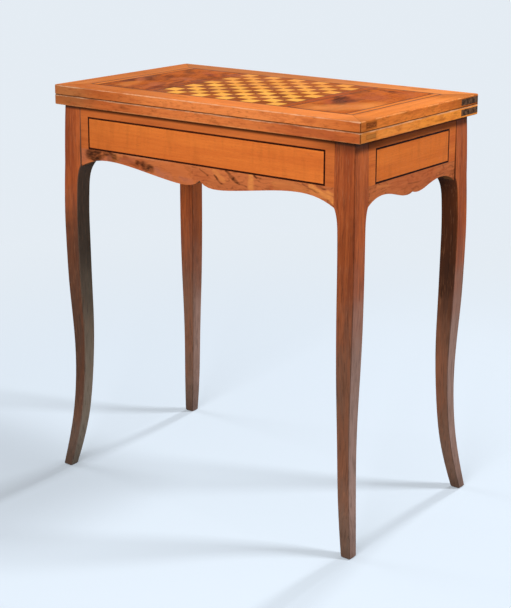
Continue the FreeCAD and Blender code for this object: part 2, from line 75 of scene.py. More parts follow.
# %% Place the camera
PICTURE_WIDTH = 511
PICTURE_HEIGHT = 608
AZIMUTH = math.radians(37.9)
ELEVATION = math.radians(14.0)
DISTANCE = 2.6468
TARGET = Vector((-0.0493, 0.0, 0.4614))
FOCAL_POINTS = 1449.7
AXIS_ACROSS = 240.0
AXIS_DOWN = 232.7
SENSOR = 36.0

camera_data = bpy.data.cameras.new("camera")
camera = bpy.data.objects.new("camera", camera_data)
scene.collection.objects.link(camera)
scene.camera = camera
out = math.cos(ELEVATION)
sight = Vector((math.sin(AZIMUTH) * out, -math.cos(AZIMUTH) * out, math.sin(ELEVATION)))
camera.location = TARGET + sight * DISTANCE
camera.rotation_euler = sight.to_track_quat("Z", "Y").to_euler()
camera_data.sensor_width = SENSOR
camera_data.lens = FOCAL_POINTS / PICTURE_HEIGHT * SENSOR
camera_data.shift_x = (PICTURE_WIDTH / 2 - AXIS_ACROSS) / PICTURE_HEIGHT
camera_data.shift_y = (AXIS_DOWN - PICTURE_HEIGHT / 2) / PICTURE_HEIGHT
print("camera at", [round(v, 3) for v in camera.location], "lens", round(camera_data.lens, 1), "mm")

# %% [markdown]
# The light is that of a studio with soft boxes. One stands low before the front, so the top throws only a narrow
# shadow on the frieze. Another hangs high beyond the back right corner: it lights the top and the right end, and
# throws the wider shadow under the overhang there. A small one far behind draws the thin shadows that run forward
# from the feet, and a weak one lights the left end. The strengths are set so that a colour renders about as it is
# written.

# %% Light the studio
WARM = (1.0, 0.97, 0.93)
AIM = Vector((0, 0, 0.6))


def soft_box(name, place, width, height, power):
    """A rectangular area lamp that looks at the middle of the table."""
    data = bpy.data.lights.new(name, "AREA")
    data.shape = "RECTANGLE"
    data.size = width
    data.size_y = height
    data.energy = power
    data.color = WARM
    lamp = bpy.data.objects.new(name, data)
    scene.collection.objects.link(lamp)
    lamp.location = place
    lamp.rotation_euler = (Vector(place) - AIM).to_track_quat("Z", "Y").to_euler()


soft_box("front_box", (0.8, -2.9, 1.5), 1.5, 0.9, 80)
soft_box("end_box", (2.3, 1.4, 3.1), 0.7, 0.7, 113)
soft_box("back_box", (-0.05, 4.5, 3.4), 0.5, 0.5, 160)
soft_box("left_box", (-2.9, -0.4, 1.4), 1.2, 0.9, 26)
print("four soft boxes")

# %% [markdown]
# The background could be a real curved backdrop, but then it would stand in the way of any other view. A world colour
# that only the camera, reflections and glass see is simpler: Light Path tells those rays from the ones that light the
# table, which get a weak, plain white. Shader nodes are used from here on, so a helper that makes them comes first.

# %% Set the world
BACKDROP = (0.78, 0.84, 0.90, 1)
WHITE = (1, 1, 1, 1)
FILL_STRENGTH = 0.1


def feed(tree, socket, value):
    """Gives an input a number or a colour, or links it to another node's output."""
    if isinstance(value, bpy.types.NodeSocket):
        tree.links.new(value, socket)
    else:
        socket.default_value = value


def add_node(tree, kind, inputs, **settings):
    """A node with its settings and its inputs."""
    node = tree.nodes.new(kind)
    for key, value in settings.items():
        setattr(node, key, value)
    for key, value in inputs.items():
        feed(tree, node.inputs[key], value)
    return node


def rays_that_see(tree):
    """1 for the rays of the eye, of mirrors and of glass, and 0 for the rays that carry light."""
    path = add_node(tree, "ShaderNodeLightPath", {}).outputs
    seen = path["Is Camera Ray"]
    for kind in ("Is Glossy Ray", "Is Transmission Ray"):
        seen = add_node(tree, "ShaderNodeMath", {0: seen, 1: path[kind]}, operation="MAXIMUM").outputs[0]
    return seen


world = bpy.data.worlds.new("studio")
scene.world = world
world.use_nodes = True
sky = world.node_tree
sky.nodes.clear()
fill = add_node(sky, "ShaderNodeBackground", {"Color": WHITE, "Strength": FILL_STRENGTH})
backdrop = add_node(sky, "ShaderNodeBackground", {"Color": BACKDROP, "Strength": 1})
choose = add_node(sky, "ShaderNodeMixShader", {0: rays_that_see(sky), 1: fill.outputs[0], 2: backdrop.outputs[0]})
add_node(sky, "ShaderNodeOutputWorld", {0: choose.outputs[0]})
scene.view_settings.view_transform = "Standard"
print("world set")

# %% [markdown]
# Each finish below is a recipe of shader nodes. Writing every node and link in full would hide the idea, so one small
# class holds a material and gives the shared steps plain names: a noise drawn out along the grain, a soft threshold,
# a mix of two colours. A mask is a number from 0 to 1 at each point. Colours are written as the eye reads them, from
# 0 to 255, and turned into the straight scale that the renderer needs.

# %% A recipe for a finish
SOOT = (0.012, 0.006, 0.003, 1)


def pigment(red, green, blue):
    """A colour as seen, turned to the renderer's own scale."""
    def straight(level):
        share = level / 255
        return share / 12.92 if share <= 0.04045 else ((share + 0.055) / 1.055) ** 2.4
    return (straight(red), straight(green), straight(blue), 1)


class Finish:
    """One material, with plain names for the steps of its recipe."""

    def __init__(self, name):
        self.material = bpy.data.materials.new(name)
        self.material.use_nodes = True
        self.tree = self.material.node_tree
        self.surface = self.tree.nodes["Principled BSDF"]
        self.coordinates = self.add("ShaderNodeTexCoord", {}).outputs["Object"]

    def add(self, kind, inputs, **settings):
        return add_node(self.tree, kind, inputs, **settings)

    def coat(self, inputs):
        """Fills in inputs of the surface by their names."""
        for key, value in inputs.items():
            feed(self.tree, self.surface.inputs[key], value)

    def math(self, operation, a, b=0.0):
        return self.add("ShaderNodeMath", {0: a, 1: b}, operation=operation).outputs[0]

    def times(self, first, *others):
        for other in others:
            first = self.math("MULTIPLY", first, other)
        return first

    def less(self, a, b):
        return self.math("SUBTRACT", a, b)

    def apart(self, a, b):
        """How far two values are from each other."""
        return self.math("ABSOLUTE", self.less(a, b))

    def rest(self, mask):
        """What a mask leaves out."""
        return self.less(1.0, mask)

    def axes(self, vector):
        return self.add("ShaderNodeSeparateXYZ", {0: vector}).outputs

    def vector(self, x, y, z):
        return self.add("ShaderNodeCombineXYZ", {0: x, 1: y, 2: z}).outputs[0]

    def vector_math(self, operation, a, b=(0, 0, 0)):
        """Sums with vectors; a length and a dot product come out as a number."""
        second = "Scale" if operation == "SCALE" else 1
        node = self.add("ShaderNodeVectorMath", {0: a, second: b}, operation=operation)
        return node.outputs["Value" if operation in ("LENGTH", "DOT_PRODUCT") else "Vector"]

    def noise(self, place, length, width, detail=2.0, rough=0.5, output="Fac"):
        """A noise whose spots have a length on a place's first axis and a width on the others."""
        vector = self.vector_math("MULTIPLY", place, (1 / length, 1 / width, 1 / width))
        inputs = {"Vector": vector, "Scale": 1.0, "Detail": detail, "Roughness": rough}
        return self.add("ShaderNodeTexNoise", inputs).outputs[output]

    def between(self, value, low, high, out_low=0.0, out_high=1.0):
        """A smooth step from out_low to out_high while the value goes from low to high."""
        inputs = {"Value": value, "From Min": low, "From Max": high, "To Min": out_low, "To Max": out_high}
        return self.add("ShaderNodeMapRange", inputs, interpolation_type="SMOOTHSTEP").outputs[0]

    def mix(self, share, first, second, way="MIX"):
        node = self.add("ShaderNodeMix", {0: share, 6: first, 7: second}, data_type="RGBA", blend_type=way)
        return node.outputs[2]

    def from_line(self, place, start, end):
        """How far a place lies from the straight line between two points."""
        run = Vector(end) - Vector(start)
        offset = self.vector_math("SUBTRACT", place, start)
        along = self.vector_math("DOT_PRODUCT", offset, run)
        share = self.add("ShaderNodeMath", {0: along, 1: run.length_squared}, operation="DIVIDE", use_clamp=True)
        nearest = self.vector_math("SCALE", run, share.outputs[0])
        return self.vector_math("LENGTH", self.vector_math("SUBTRACT", offset, nearest))

    def relief(self, height, depth):
        bump = self.add("ShaderNodeBump", {"Height": height, "Distance": depth})
        self.coat({"Normal": bump.outputs[0]})

    def give_to(self, *pieces):
        for piece in pieces:
            piece.data.materials.clear()
            piece.data.materials.append(self.material)


print("recipes ready")

# %% [markdown]
# The floor is a plain pale sheet of paper, so wide that its edge is far away in any view. It isn't part of the table.
# Pale paper would throw too much light up under the table, so the rays that carry light find a darker floor than the
# rays that see it. Far from the table it fades into the colour of the backdrop.

# %% Lay the floor
FLOOR_RADIUS = 25.0
FLOOR_CORNERS = 96
CLOUD_SIZE = 1.2
PAPER = (207, 222, 238)
PAPER_SHADE = (197, 212, 229)
UNSEEN = (104, 106, 108)
FADE_START = 0.45
FADE_END = 1.9
EVEN_GLOW = 0.3


def add_piece(maker, name):
    """Turns the mesh that was built into a piece of the scene."""
    mesh = bpy.data.meshes.new(name)
    maker.to_mesh(mesh)
    maker.free()
    piece = bpy.data.objects.new(name, mesh)
    scene.collection.objects.link(piece)
    return piece


disc = bmesh.new()
bmesh.ops.create_circle(disc, cap_ends=True, segments=FLOOR_CORNERS, radius=FLOOR_RADIUS)
floor = add_piece(disc, "floor")

paper = Finish("floor_paper")
eye = rays_that_see(paper.tree)
cloud = paper.noise(paper.coordinates, CLOUD_SIZE, CLOUD_SIZE, detail=1)
pale = paper.mix(cloud, pigment(*PAPER_SHADE), pigment(*PAPER))
paper.coat({"Base Color": paper.mix(eye, pigment(*UNSEEN), pale), "Roughness": 0.9, "Specular IOR Level": 0.1})
far_out = paper.vector_math("LENGTH", paper.coordinates)
faded = paper.times(paper.between(far_out, FADE_START, FADE_END, EVEN_GLOW, 1.0), eye)
glow = paper.add("ShaderNodeEmission", {"Color": BACKDROP, "Strength": 1.0})
blend = paper.add("ShaderNodeMixShader", {0: faded, 1: paper.surface.outputs[0], 2: glow.outputs[0]})
feed(paper.tree, paper.tree.nodes["Material Output"].inputs["Surface"], blend.outputs[0])
paper.give_to(floor)
print("floor laid")

# %% [markdown]
# Polished wood is one idea in many mixtures. Broad bands of tone run along the grain, finer streaks lie in them, and
# fibres and open pores finish the surface at a fraction of a millimetre. Where the saw went across the grain the
# end shows darker and speckled. All woods share this recipe, and each one changes its colours and its figure.
# Sizes of the figure are a length along the grain and a width across it.

# %% The wood recipe
DRIFT = (0.16, 0.05)
BANDS = (0.30, 0.022)
STREAKS = (0.09, 0.0035)
FIBRES = (0.018, 0.0007)
PORES = (0.007, 0.0004)
SPECKLES = (0.0012, 0.0012)
END_SHADE = (0.55, 0.5, 0.47, 1)
PORE_DEPTH = 0.08 * MM


class Wood(Finish):
    """A polished wood: light and dark tones, grain along an axis, a seed for the plank."""

    def __init__(self, name, light, dark, along, seed, figure=1.0, waver=0.004, polish=0.42, gloss=0.03):
        super().__init__(name)
        self.light = pigment(*light)
        self.dark = pigment(*dark)
        self.along = along
        self.polish = polish
        self.x, self.y, self.z = x, y, z = self.axes(self.coordinates)
        self.facing = self.axes(self.add("ShaderNodeTexCoord", {}).outputs["Normal"])
        point = self.vector(*{"X": (x, y, z), "Y": (y, x, z), "Z": (z, x, y)}[along])
        self.place = self.vector_math("ADD", point, (seed, seed * 0.37, seed * 0.71))
        shift = self.times(self.less(self.noise(self.place, *DRIFT), 0.5), waver * 4)
        self.wavy = self.vector_math("ADD", self.place, self.vector(0.0, shift, shift))
        bands = self.noise(self.wavy, *BANDS)
        streaks = self.noise(self.wavy, *STREAKS, detail=3, rough=0.6)
        self.fibre = self.noise(self.wavy, *FIBRES)
        tone = self.math("ADD", self.times(bands, 0.5), self.times(streaks, 0.35))
        tone = self.math("ADD", tone, self.times(self.fibre, 0.15))
        spread = 0.20 / figure
        self.tone = self.between(tone, 0.5 - spread, 0.5 + spread)
        self.colour = self.mix(self.tone, self.dark, self.light)
        self.pore = self.between(self.noise(self.wavy, *PORES, detail=1), 0.62, 0.72)
        self.darken(0.22, self.pore)
        self.coat({"Specular IOR Level": gloss})
        self.end_grain()

    def end_grain(self):
        """Across the grain the wood is darker, and its pores are points."""
        turned = self.math("ABSOLUTE", self.facing["XYZ".index(self.along)])
        self.end = self.between(turned, 0.75, 0.92)
        speckle = self.noise(self.coordinates, *SPECKLES)
        cut = self.mix(self.between(speckle, 0.4, 0.62), self.mix(0.75, self.light, self.dark), self.dark)
        self.colour = self.mix(self.end, self.colour, self.mix(1.0, cut, END_SHADE, way="MULTIPLY"))

    def darken(self, strength, *masks):
        """Darkens the wood where all the masks hold; a strength of 1 is black."""
        self.colour = self.mix(self.times(*masks, strength), self.colour, SOOT)

    def tint(self, colour, strength, *masks):
        """Turns the wood where all the masks hold towards a colour as seen."""
        self.colour = self.mix(self.times(*masks, strength), self.colour, pigment(*colour))

    def finish(self, *names):
        """Joins the colour, the gloss and the pores' relief to the surface, and gives it to CAD pieces."""
        cloud = self.noise(self.coordinates, 0.04, 0.04, detail=3)
        gloss = self.between(cloud, 0.3, 0.7, self.polish - 0.05, self.polish + 0.09)
        self.coat({"Base Color": self.colour, "Roughness": gloss})
        self.relief(self.less(self.times(self.fibre, 0.35), self.pore), PORE_DEPTH)
        self.give_to(*[nodes[name] for name in names])


print("wood recipe ready")

# %% [markdown]
# The legs are solid fruitwood under old wax, red-brown and streaked along their length. Towards the feet they turn
# grey-brown, partly the wood's own tone and partly a painted falloff of light. The faces that look to the right carry a
# painted pale reflection, a painted dark reflection runs along the eased arris, and where the frame shades a leg its
# front or right face gets painted shade. A colour that changes with height does the first, and the direction in which
# the surface looks finds the right faces and the arris. Each leg is lit and worn in its own way, so it has its own
# numbers.

# %% Legs
LEG_LIGHT = (196, 102, 52)
LEG_DARK = (142, 66, 34)
GREYING_AND_FALLOFF = (128, 96, 79)
RIGHT_REFLECTION = (172, 145, 137)
INNER_REFLECTION = (178, 170, 152)
FLOOR_DUST = (124, 108, 98)
WORN_WAX = (190, 132, 96)
GREYING_TOP = 0.54
GREYING_FULL = 0.28
KNEE_LOW = 0.23
KNEE_HIGH = 0.42
DUST_LINE = 0.16
FOOT_LINE = 0.075
DIM_CORNER = [(FRAME_HALF_LENGTH, -FRAME_HALF_DEPTH, z) for z in (0, POST_TOP)]


def shade_and_dust_under_top(wood):
    """A dark line where the frame meets the top, partly dust and partly painted shade under the overhang, wider near
    the front right corner.
    """
    line = wood.between(wood.z, POST_TOP - 0.0075, POST_TOP - 0.0025)
    wood.darken(0.86, line, wood.between(wood.facing[2], 0.9, 0.5))
    # Wider painted shade under the top near the front right corner.
    near = wood.between(wood.from_line(wood.coordinates, *DIM_CORNER), 0.11, 0.02)
    wood.darken(0.55, near, wood.between(wood.z, POST_TOP - 0.024, POST_TOP - 0.004))


def leg_finish(leg, seed, reflection_line, gloom=0.0, gloom_line=0.5, greying_rise=0.0, inner=0.0, knee_shadow=0.0,
               right_shadow=0.0):
    """The legs' wood.

    gloom is how much darker it is below a line, greying_rise how much higher the grey-brown and painted falloff reach,
    inner how strong a painted grey reflection lies on its right face, knee_shadow how strong a painted shadow lies on
    its front behind the apron, and right_shadow how strong a painted shadow lies on its right face there. That face
    carries a painted pale reflection below reflection_line.
    """
    wood = Wood(leg + "_wood", LEG_LIGHT, LEG_DARK, "Z", seed, figure=1.4, waver=0.003, polish=0.46, gloss=0.08)
    between = wood.between
    wander = wood.times(wood.less(wood.noise(wood.coordinates, 0.05, 0.05), 0.5), 0.12)
    level = wood.math("ADD", wood.z, wander)
    right = between(wood.facing[0], 0.5, 0.9)
    others = wood.rest(right)
    # Grey-brown towards the feet: partly the wood's own tone and partly a painted falloff of light.
    greying = between(level, GREYING_TOP + greying_rise, GREYING_FULL + greying_rise)
    wood.tint(GREYING_AND_FALLOFF, 1.0, greying, between(wood.tone, 0.0, 1.0, 0.92, 0.70))
    wood.darken(gloom, between(level, gloom_line, gloom_line - 0.12), others)
    # Painted shadow on the front face behind the apron.
    wood.darken(knee_shadow, between(level, KNEE_LOW, KNEE_HIGH), others)
    # Painted pale reflection on the faces that look to the right, below a line.
    reflected = between(level, reflection_line, reflection_line - 0.26)
    wood.tint(RIGHT_REFLECTION, 1.0, right, reflected, between(wood.tone, 0.0, 1.0, 0.45, 0.85))
    # Painted grey reflection of the floor on the right face.
    wood.tint(INNER_REFLECTION, inner, right)
    # Painted shade on the right face, where the top keeps the light off it.
    wood.darken(right_shadow, right, between(level, 0.14, 0.46))
    wood.tint(FLOOR_DUST, 0.45, between(level, DUST_LINE, 0.03), others)
    residue = wood.noise(wood.wavy, 0.045, 0.003, detail=4, rough=0.65)
    wood.darken(0.38, between(residue, 0.50, 0.68))
    rubbed = wood.noise(wood.wavy, 0.03, 0.0022, detail=3, rough=0.6)
    wood.tint(WORN_WAX, 0.24, between(rubbed, 0.56, 0.72))
    wood.darken(0.38, between(level, FOOT_LINE, -0.01))
    # Painted dark reflection along the eased arris where two faces meet.
    askew = wood.times(wood.math("ABSOLUTE", wood.facing[0]), wood.math("ABSOLUTE", wood.facing[1]))
    arris = between(askew, 0.3, 0.45)
    wood.darken(0.42, arris)
    shade_and_dust_under_top(wood)
    wood.finish(leg)


LEG_STATES = {
    "front_left_leg": dict(reflection_line=0.30, gloom=0.60, gloom_line=0.56, greying_rise=0.06, inner=0.60, right_shadow=0.82),
    "front_right_leg": dict(reflection_line=0.54, gloom=0.30, gloom_line=0.645),
    "back_left_leg": dict(reflection_line=0.40, greying_rise=-0.06, knee_shadow=0.15, right_shadow=0.54),
    "back_right_leg": dict(reflection_line=0.50, knee_shadow=0.84),
}
for number, (leg, state) in enumerate(LEG_STATES.items()):
    leg_finish(leg, 1.3 + 2.9 * number, **state)
print("four legs finished")

# %% [markdown]
# Behind the show wood the frame is plain joiner's work. The rails, the pivot rail, the well's bottom and runners, the
# pegs, the stop and the panels inside the leaves are an unpolished secondary wood, dry and dull, and only seen from
# below or with the top turned. It is the same recipe, duller and with little gloss.

# %% Plain carcase wood
CARCASE_TONES = ((168, 112, 70), (120, 76, 46))
CARCASE_WOODS = {
    "carcase_along": ("X", 3.1, ("front_rail", "back_rail", "lower_panel", "upper_panel", "well_bottom")),
    "carcase_across": ("Y", 5.7, ("left_rail", "right_rail", "pivot_rail", "turn_stop")),
    "carcase_small": ("X", 9.2, ("well_runners", "tenon_pegs")),
}
for name, (along, seed, pieces) in CARCASE_WOODS.items():
    Wood(name, *CARCASE_TONES, along, seed, figure=0.9, polish=0.66).finish(*pieces)
print("carcase finished")

# %% [markdown]
# The frieze is veneered: a bright fruitwood field inside a dark string, a banding of the same wood round it, and a wild
# walnut on the apron. The field shimmers across the grain, as cut veneer does where the fibres wave, so a weak
# ripple of short bands is laid over the grain.

# %% Frieze fields and bandings
FIELD_TONES = ((234, 130, 57), (208, 105, 46))
FIELD_FLECK = (240, 160, 84)
BANDING_TONES = {"X": ((210, 115, 56), (178, 88, 43)), "Y": ((228, 126, 60), (196, 98, 48))}


def frieze_field_finish(side, along, seed):
    wood = Wood(side + "_frieze_wood", *FIELD_TONES, along, seed, figure=0.8, waver=0.002, polish=0.4)
    ripple = wood.noise(wood.place, 0.010, 0.06)
    wood.darken(0.10, wood.between(ripple, 0.45, 0.75))
    fleck = wood.noise(wood.place, 0.004, 0.0009, detail=1)
    wood.tint(FIELD_FLECK, 0.22, wood.between(fleck, 0.62, 0.75))
    # Darker towards the left end: a painted falloff of light.
    wood.darken(0.10, wood.between(wood.x, -0.10, -0.25))
    wood.finish(side + "_frieze_field")


def banding_finish(side, along, seed):
    wood = Wood(side + "_banding_wood", *BANDING_TONES[along], along, seed, waver=0.002)
    shade_and_dust_under_top(wood)
    wood.finish(side + "_frieze_banding")


for number, (side, along) in enumerate(SIDES):
    frieze_field_finish(side, along, 2.3 + 3.7 * number)
    banding_finish(side, along, 6.1 + 2.1 * number)
print("friezes finished")

# %% [markdown]
# Stringing is thin strips of stained wood let into the veneer. It is nearly black, with a little brown where the stain
# has faded. It needs hardly any figure at its width, only a tone that isn't quite even.

# %% Stringing
string = Wood("string_wood", (66, 26, 10), (38, 14, 6), "X", 4.4, figure=0.9, polish=0.44)
string.finish(*[side + "_frieze_stringing" for side, _ in SIDES])
top_string = Wood("top_string_wood", (54, 22, 8), (30, 12, 5), "X", 8.4, figure=0.9, polish=0.44)
top_string.finish("top_stringing")
print("stringing finished")

# %% [markdown]
# Burr and crotch walnut have no straight grain: the figure swirls round knots and dark clouds. Two noises do this. A
# slow one bends the place where a finer one is read, which gives swirling contours. The knots, clouds and sap streaks
# of each panel are a cabinetmaker's choice, so they are laid on one by one as brush strokes, each from one point to
# another with a half width, a colour and a strength. Their edges are frayed by the same swirl.

# %% Figured walnut
class FiguredWalnut(Wood):
    """Walnut with a swirling figure and brush strokes on one face."""

    def __init__(self, name, light, dark, along, seed, face=None, strokes=(), swirl=0.010, contours=0.3, **settings):
        super().__init__(name, light, dark, along, seed, **settings)
        slow = self.noise(self.place, 0.05, 0.022, output="Color")
        offset = self.vector_math("SUBTRACT", slow, (0.5, 0.5, 0.5))
        bent = self.vector_math("ADD", self.place, self.vector_math("SCALE", offset, swirl * 4))
        contour = self.noise(bent, 0.03, 0.0045, detail=3, rough=0.6)
        swirl_tone = self.between(contour, 0.36, 0.62)
        self.tint(light, 0.5, swirl_tone)
        self.darken(contours, self.between(contour, 0.46, 0.34))
        nudge = self.vector_math("SCALE", offset, swirl * 1.6)
        self.turned = self.vector_math("ADD", self.coordinates, nudge)
        self.fray = self.between(swirl_tone, 2.6, -0.6)
        for stroke in strokes:
            self.stroke(face, *stroke)

    def stroke(self, face, a0, b0, a1, b1, half_width, colour, strength):
        """One brush stroke in millimetres on a face, dense in its middle and frayed at its edge."""
        far = self.from_line(self.turned, face(a0 * MM, b0 * MM), face(a1 * MM, b1 * MM))
        inside = self.between(far, half_width * MM * 1.6, half_width * MM * 0.5)
        self.tint(colour, strength, inside, self.fray)


print("figured walnut ready")

# %% [markdown]
# The aprons are cut from one board of walnut. On the front one a dark knot sits near the left leg, and cracks filled
# with dark polish run slanting down to the right, with paler sap between them. The right one is calmer, and the two
# that stand to the wall show only the swirl. A row holds the stroke's two ends as (x, z, x, z) on the front and
# (y, z, y, z) on the right, then its half width, colour and strength.

# %% Aprons
INK = (52, 26, 14)
UMBER = (104, 56, 30)
RUST = (168, 78, 42)
ROSE = (190, 112, 82)
AMBER = (244, 158, 82)
KNOT = (84, 34, 18)
APRON_LIGHT = (208, 118, 68)
APRON_DARK = (158, 84, 50)


def on_front(x, z):
    return (x, -FRAME_HALF_DEPTH, z)


def on_right(y, z):
    return (FRAME_HALF_LENGTH, y, z)


FRONT_STROKES = (
    (-267, 600, -267, 620, 10, ROSE, 0.6),
    (-254, 612, -237, 609, 9.0, INK, 0.98),
    (-244, 604, -234, 601, 5.0, INK, 0.85),
    (-196, 619, -20, 619, 2.5, (222, 146, 104), 0.45),
    (-231, 608, -222, 606, 4.0, INK, 0.75),
    (-218, 615, -197, 611, 6.0, INK, 0.95),
    (-172, 615, -142, 604, 3.5, UMBER, 0.75),
    (-222, 600, -205, 606, 5.0, ROSE, 0.7),
    (-182, 607, -150, 612, 4.0, ROSE, 0.6),
    (-150, 598, -128, 594, 4.0, ROSE, 0.7),
    (-191, 598, -191, 620, 8, AMBER, 0.12),
    (-205, 604, -186, 606, 5, UMBER, 0.4),
    (-170, 607, -133, 605, 9, RUST, 0.55),
    (-96, 598, -66, 592, 6, ROSE, 0.5),
    (-80, 610, -28, 604, 10, (216, 118, 62), 0.55),
    (-8, 603, 12, 600, 9, RUST, 0.45),
    (150, 603, 190, 603, 5, RUST, 0.5),
    (-142, 609, -126, 606, 3.2, INK, 0.85),
    (-126, 605, -108, 600, 6.0, INK, 0.95),
    (-100, 598, -84, 592, 4.0, ROSE, 0.6),
    (-40, 593, -18, 591, 5, ROSE, 0.6),
    (1, 613, 16, 605, 1.6, INK, 0.65),
    (32, 607, 60, 590, 1.9, INK, 0.8),
    (30, 615, 52, 604, 4.0, AMBER, 0.4),
    (58, 619.5, 73, 607.5, 2.4, INK, 0.9),
    (73, 607.5, 86, 598, 2.4, INK, 0.9),
    (86, 598, 102, 594, 2.2, INK, 0.85),
    (110.5, 594, 110.5, 621, 5.5, AMBER, 0.65),
    (119.5, 619, 122, 618, 2.6, INK, 0.9),
    (121, 618.5, 132, 616.5, 1.2, INK, 0.7),
    (129, 613, 132, 612, 1.8, UMBER, 0.7),
    (148, 618, 148, 609, 0.7, INK, 0.6),
    (160, 608, 215, 608, 8, AMBER, 0.25),
    (232, 604, 262, 606, 7.0, AMBER, 0.4),
    (214, 619, 243, 606, 2.2, INK, 0.75),
    (228, 618, 276, 594, 4.0, AMBER, 0.75),
    (242, 619, 256, 616, 2.0, INK, 0.6),
    (245, 606, 272, 590, 2.0, UMBER, 0.75),
    (262, 612, 276, 606, 3.0, AMBER, 0.5),
)
RIGHT_STROKES = (
    (-60, 610, 60, 604, 14, (184, 88, 50), 0.45),
    (-60, 612, 20, 607, 1.6, RUST, 0.7),
    (-20, 603, 60, 600, 1.6, UMBER, 0.5),
    (10, 611, 90, 612, 1.4, RUST, 0.7),
    (40, 606, 110, 609, 1.6, RUST, 0.7),
    (-110, 613, -70, 609, 2.0, AMBER, 0.4),
)
APRONS = (
    ("front", "X", 1.9, on_front, FRONT_STROKES, 0.3),
    ("right", "Y", 4.6, on_right, RIGHT_STROKES, 0.3),
    ("back", "X", 7.7, None, (), 0.5),
    ("left", "Y", 11.2, None, (), 0.5),
)
for side, along, seed, face, strokes, contours in APRONS:
    apron = FiguredWalnut(side + "_apron_wood", APRON_LIGHT, APRON_DARK, along, seed, face, strokes, contours=contours)
    apron.finish(side + "_apron_veneer")
print(len(APRONS), "aprons finished")

# %% [markdown]
# On the top the two end panels are the showiest walnut, dark clouds and a knot in orange-brown. Dark bands of the same
# wood frame the board, and narrow fruitwood bands lie outside the panels. A row of strokes starts with (x, y, x, y).
# Years of polishing have left hardly any gloss on the top, so its woods share one low value.

# %% Panels and bands of the top
TOP_GLOSS = 0.002
PANEL_LOOKS = {"polish": 0.4, "gloss": TOP_GLOSS}
PANEL_LIGHT = (198, 102, 38)
PANEL_DARK = (128, 58, 22)
RIM_REACH = 2.8 * MM
LEFT_PANEL_STROKES = (
    (-270, 20, -236, -34, 12, UMBER, 0.8),
    (-272, -38, -258, -70, 11, KNOT, 0.95),
    (-256, -10, -228, -34, 7, KNOT, 0.7),
    (-250, -38, -236, -56, 8, ROSE, 0.35),
    (-242, 36, -226, 14, 9, KNOT, 0.75),
    (-222, 8, -206, -24, 6, UMBER, 0.6),
    (-262, 112, -236, 80, 10, UMBER, 0.85),
    (-226, 70, -204, 30, 7, UMBER, 0.5),
    (-272, 80, -272, 60, 7, UMBER, 0.45),
    (-205, 100, -160, 75, 9, RUST, 0.8),
    (-190, 84, -158, 60, 7, KNOT, 0.75),
    (-176, 112, -158, 94, 7, KNOT, 0.6),
    (-170, 50, -158, 10, 8, UMBER, 0.8),
    (-182, 0, -164, -32, 5, KNOT, 0.6),
    (-238, -70, -226, -110, 14, AMBER, 0.35),
    (-196, -60, -184, -80, 10, ROSE, 0.4),
    (-236, 14, -226, -4, 12, (124, 60, 26), 0.5),
    (-192, 22, -180, 5, 8, ROSE, 0.35),
    (-168, -20, -160, -60, 8, KNOT, 0.7),
    (-178, -62, -160, -100, 6, KNOT, 0.7),
    (-168, -80, -154, -122, 9, (120, 48, 22), 0.9),
    (-276, -120, -176, -130, 5, UMBER, 0.6),
)
RIGHT_PANEL_STROKES = (
    (158, 118, 196, 112, 8, UMBER, 0.8),
    (196, 118, 208, 102, 7, KNOT, 0.8),
    (160, 90, 156, 50, 8, UMBER, 0.8),
    (176, 46, 196, 24, 9, UMBER, 0.4),
    (158, 22, 208, -62, 26, RUST, 0.6),
    (164, 4, 200, -54, 14, KNOT, 0.95),
    (168, -4, 192, -40, 8, INK, 0.8),
    (184, -2, 198, -22, 8, KNOT, 0.7),
    (202, 4, 208, -30, 8, UMBER, 0.7),
    (196, -44, 206, -56, 8, UMBER, 0.8),
    (160, -30, 186, -70, 7, RUST, 0.8),
    (186, -70, 200, -92, 5, UMBER, 0.6),
    (170, -104, 188, -122, 20, AMBER, 0.30),
    (214, -98, 252, -50, 30, AMBER, 0.50),
    (248, -10, 262, -60, 16, AMBER, 0.25),
    (206, 120, 262, 96, 8, RUST, 0.4),
    (216, 80, 246, 60, 6, RUST, 0.45),
    (190, 40, 206, 20, 8, RUST, 0.5),
    (176, 66, 204, 48, 14, (150, 70, 30), 0.6),
    (214, 60, 226, 20, 12, RUST, 0.45),
    (266, 60, 272, 20, 6, UMBER, 0.5),
)
BAND_STROKES = (
    (-138, 90, -146, 30, 6, UMBER, 0.6),
    (-138, 10, -134, -60, 7, UMBER, 0.7),
    (-142, -70, -130, -124, 8, INK, 0.75),
    (128, 118, 136, 90, 7, UMBER, 0.6),
    (124, -20, 128, -60, 3, INK, 0.6),
    (126, -70, 134, -100, 5, UMBER, 0.8),
    (140, 40, 146, -60, 6, RUST, 0.6),
)


def on_top(x, y):
    return (x, y, TABLE_TOP)


def dark_rim(wood, name):
    """Old polish gathered against the strings, all round a piece of veneer."""
    low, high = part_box(name)
    middle = (low + high) / 2
    half = (high - low) / 2
    across = wood.less(half.x, wood.apart(wood.x, middle.x))
    down = wood.less(half.y, wood.apart(wood.y, middle.y))
    wood.darken(0.5, wood.between(wood.math("MINIMUM", across, down), RIM_REACH, RIM_REACH * 0.3))


for side, seed, strokes in (("left", 2.6, LEFT_PANEL_STROKES), ("right", 6.9, RIGHT_PANEL_STROKES)):
    panel = FiguredWalnut(side + "_panel_wood", PANEL_LIGHT, PANEL_DARK, "Y", seed, on_top, strokes, swirl=0.016,
                          **PANEL_LOOKS)
    dark_rim(panel, side + "_figured_panel")
    panel.finish(side + "_figured_panel")
dark_band = FiguredWalnut("dark_band_wood", (184, 94, 40), (134, 60, 24), "Y", 3.3, on_top, BAND_STROKES, swirl=0.012,
                          **PANEL_LOOKS)
dark_band.finish("board_bands")
outer_band = Wood("outer_band_wood", (226, 132, 56), (178, 92, 36), "Y", 7.3, figure=1.1, **PANEL_LOOKS)
outer_band.finish("outer_bands")
print("panels and bands finished")

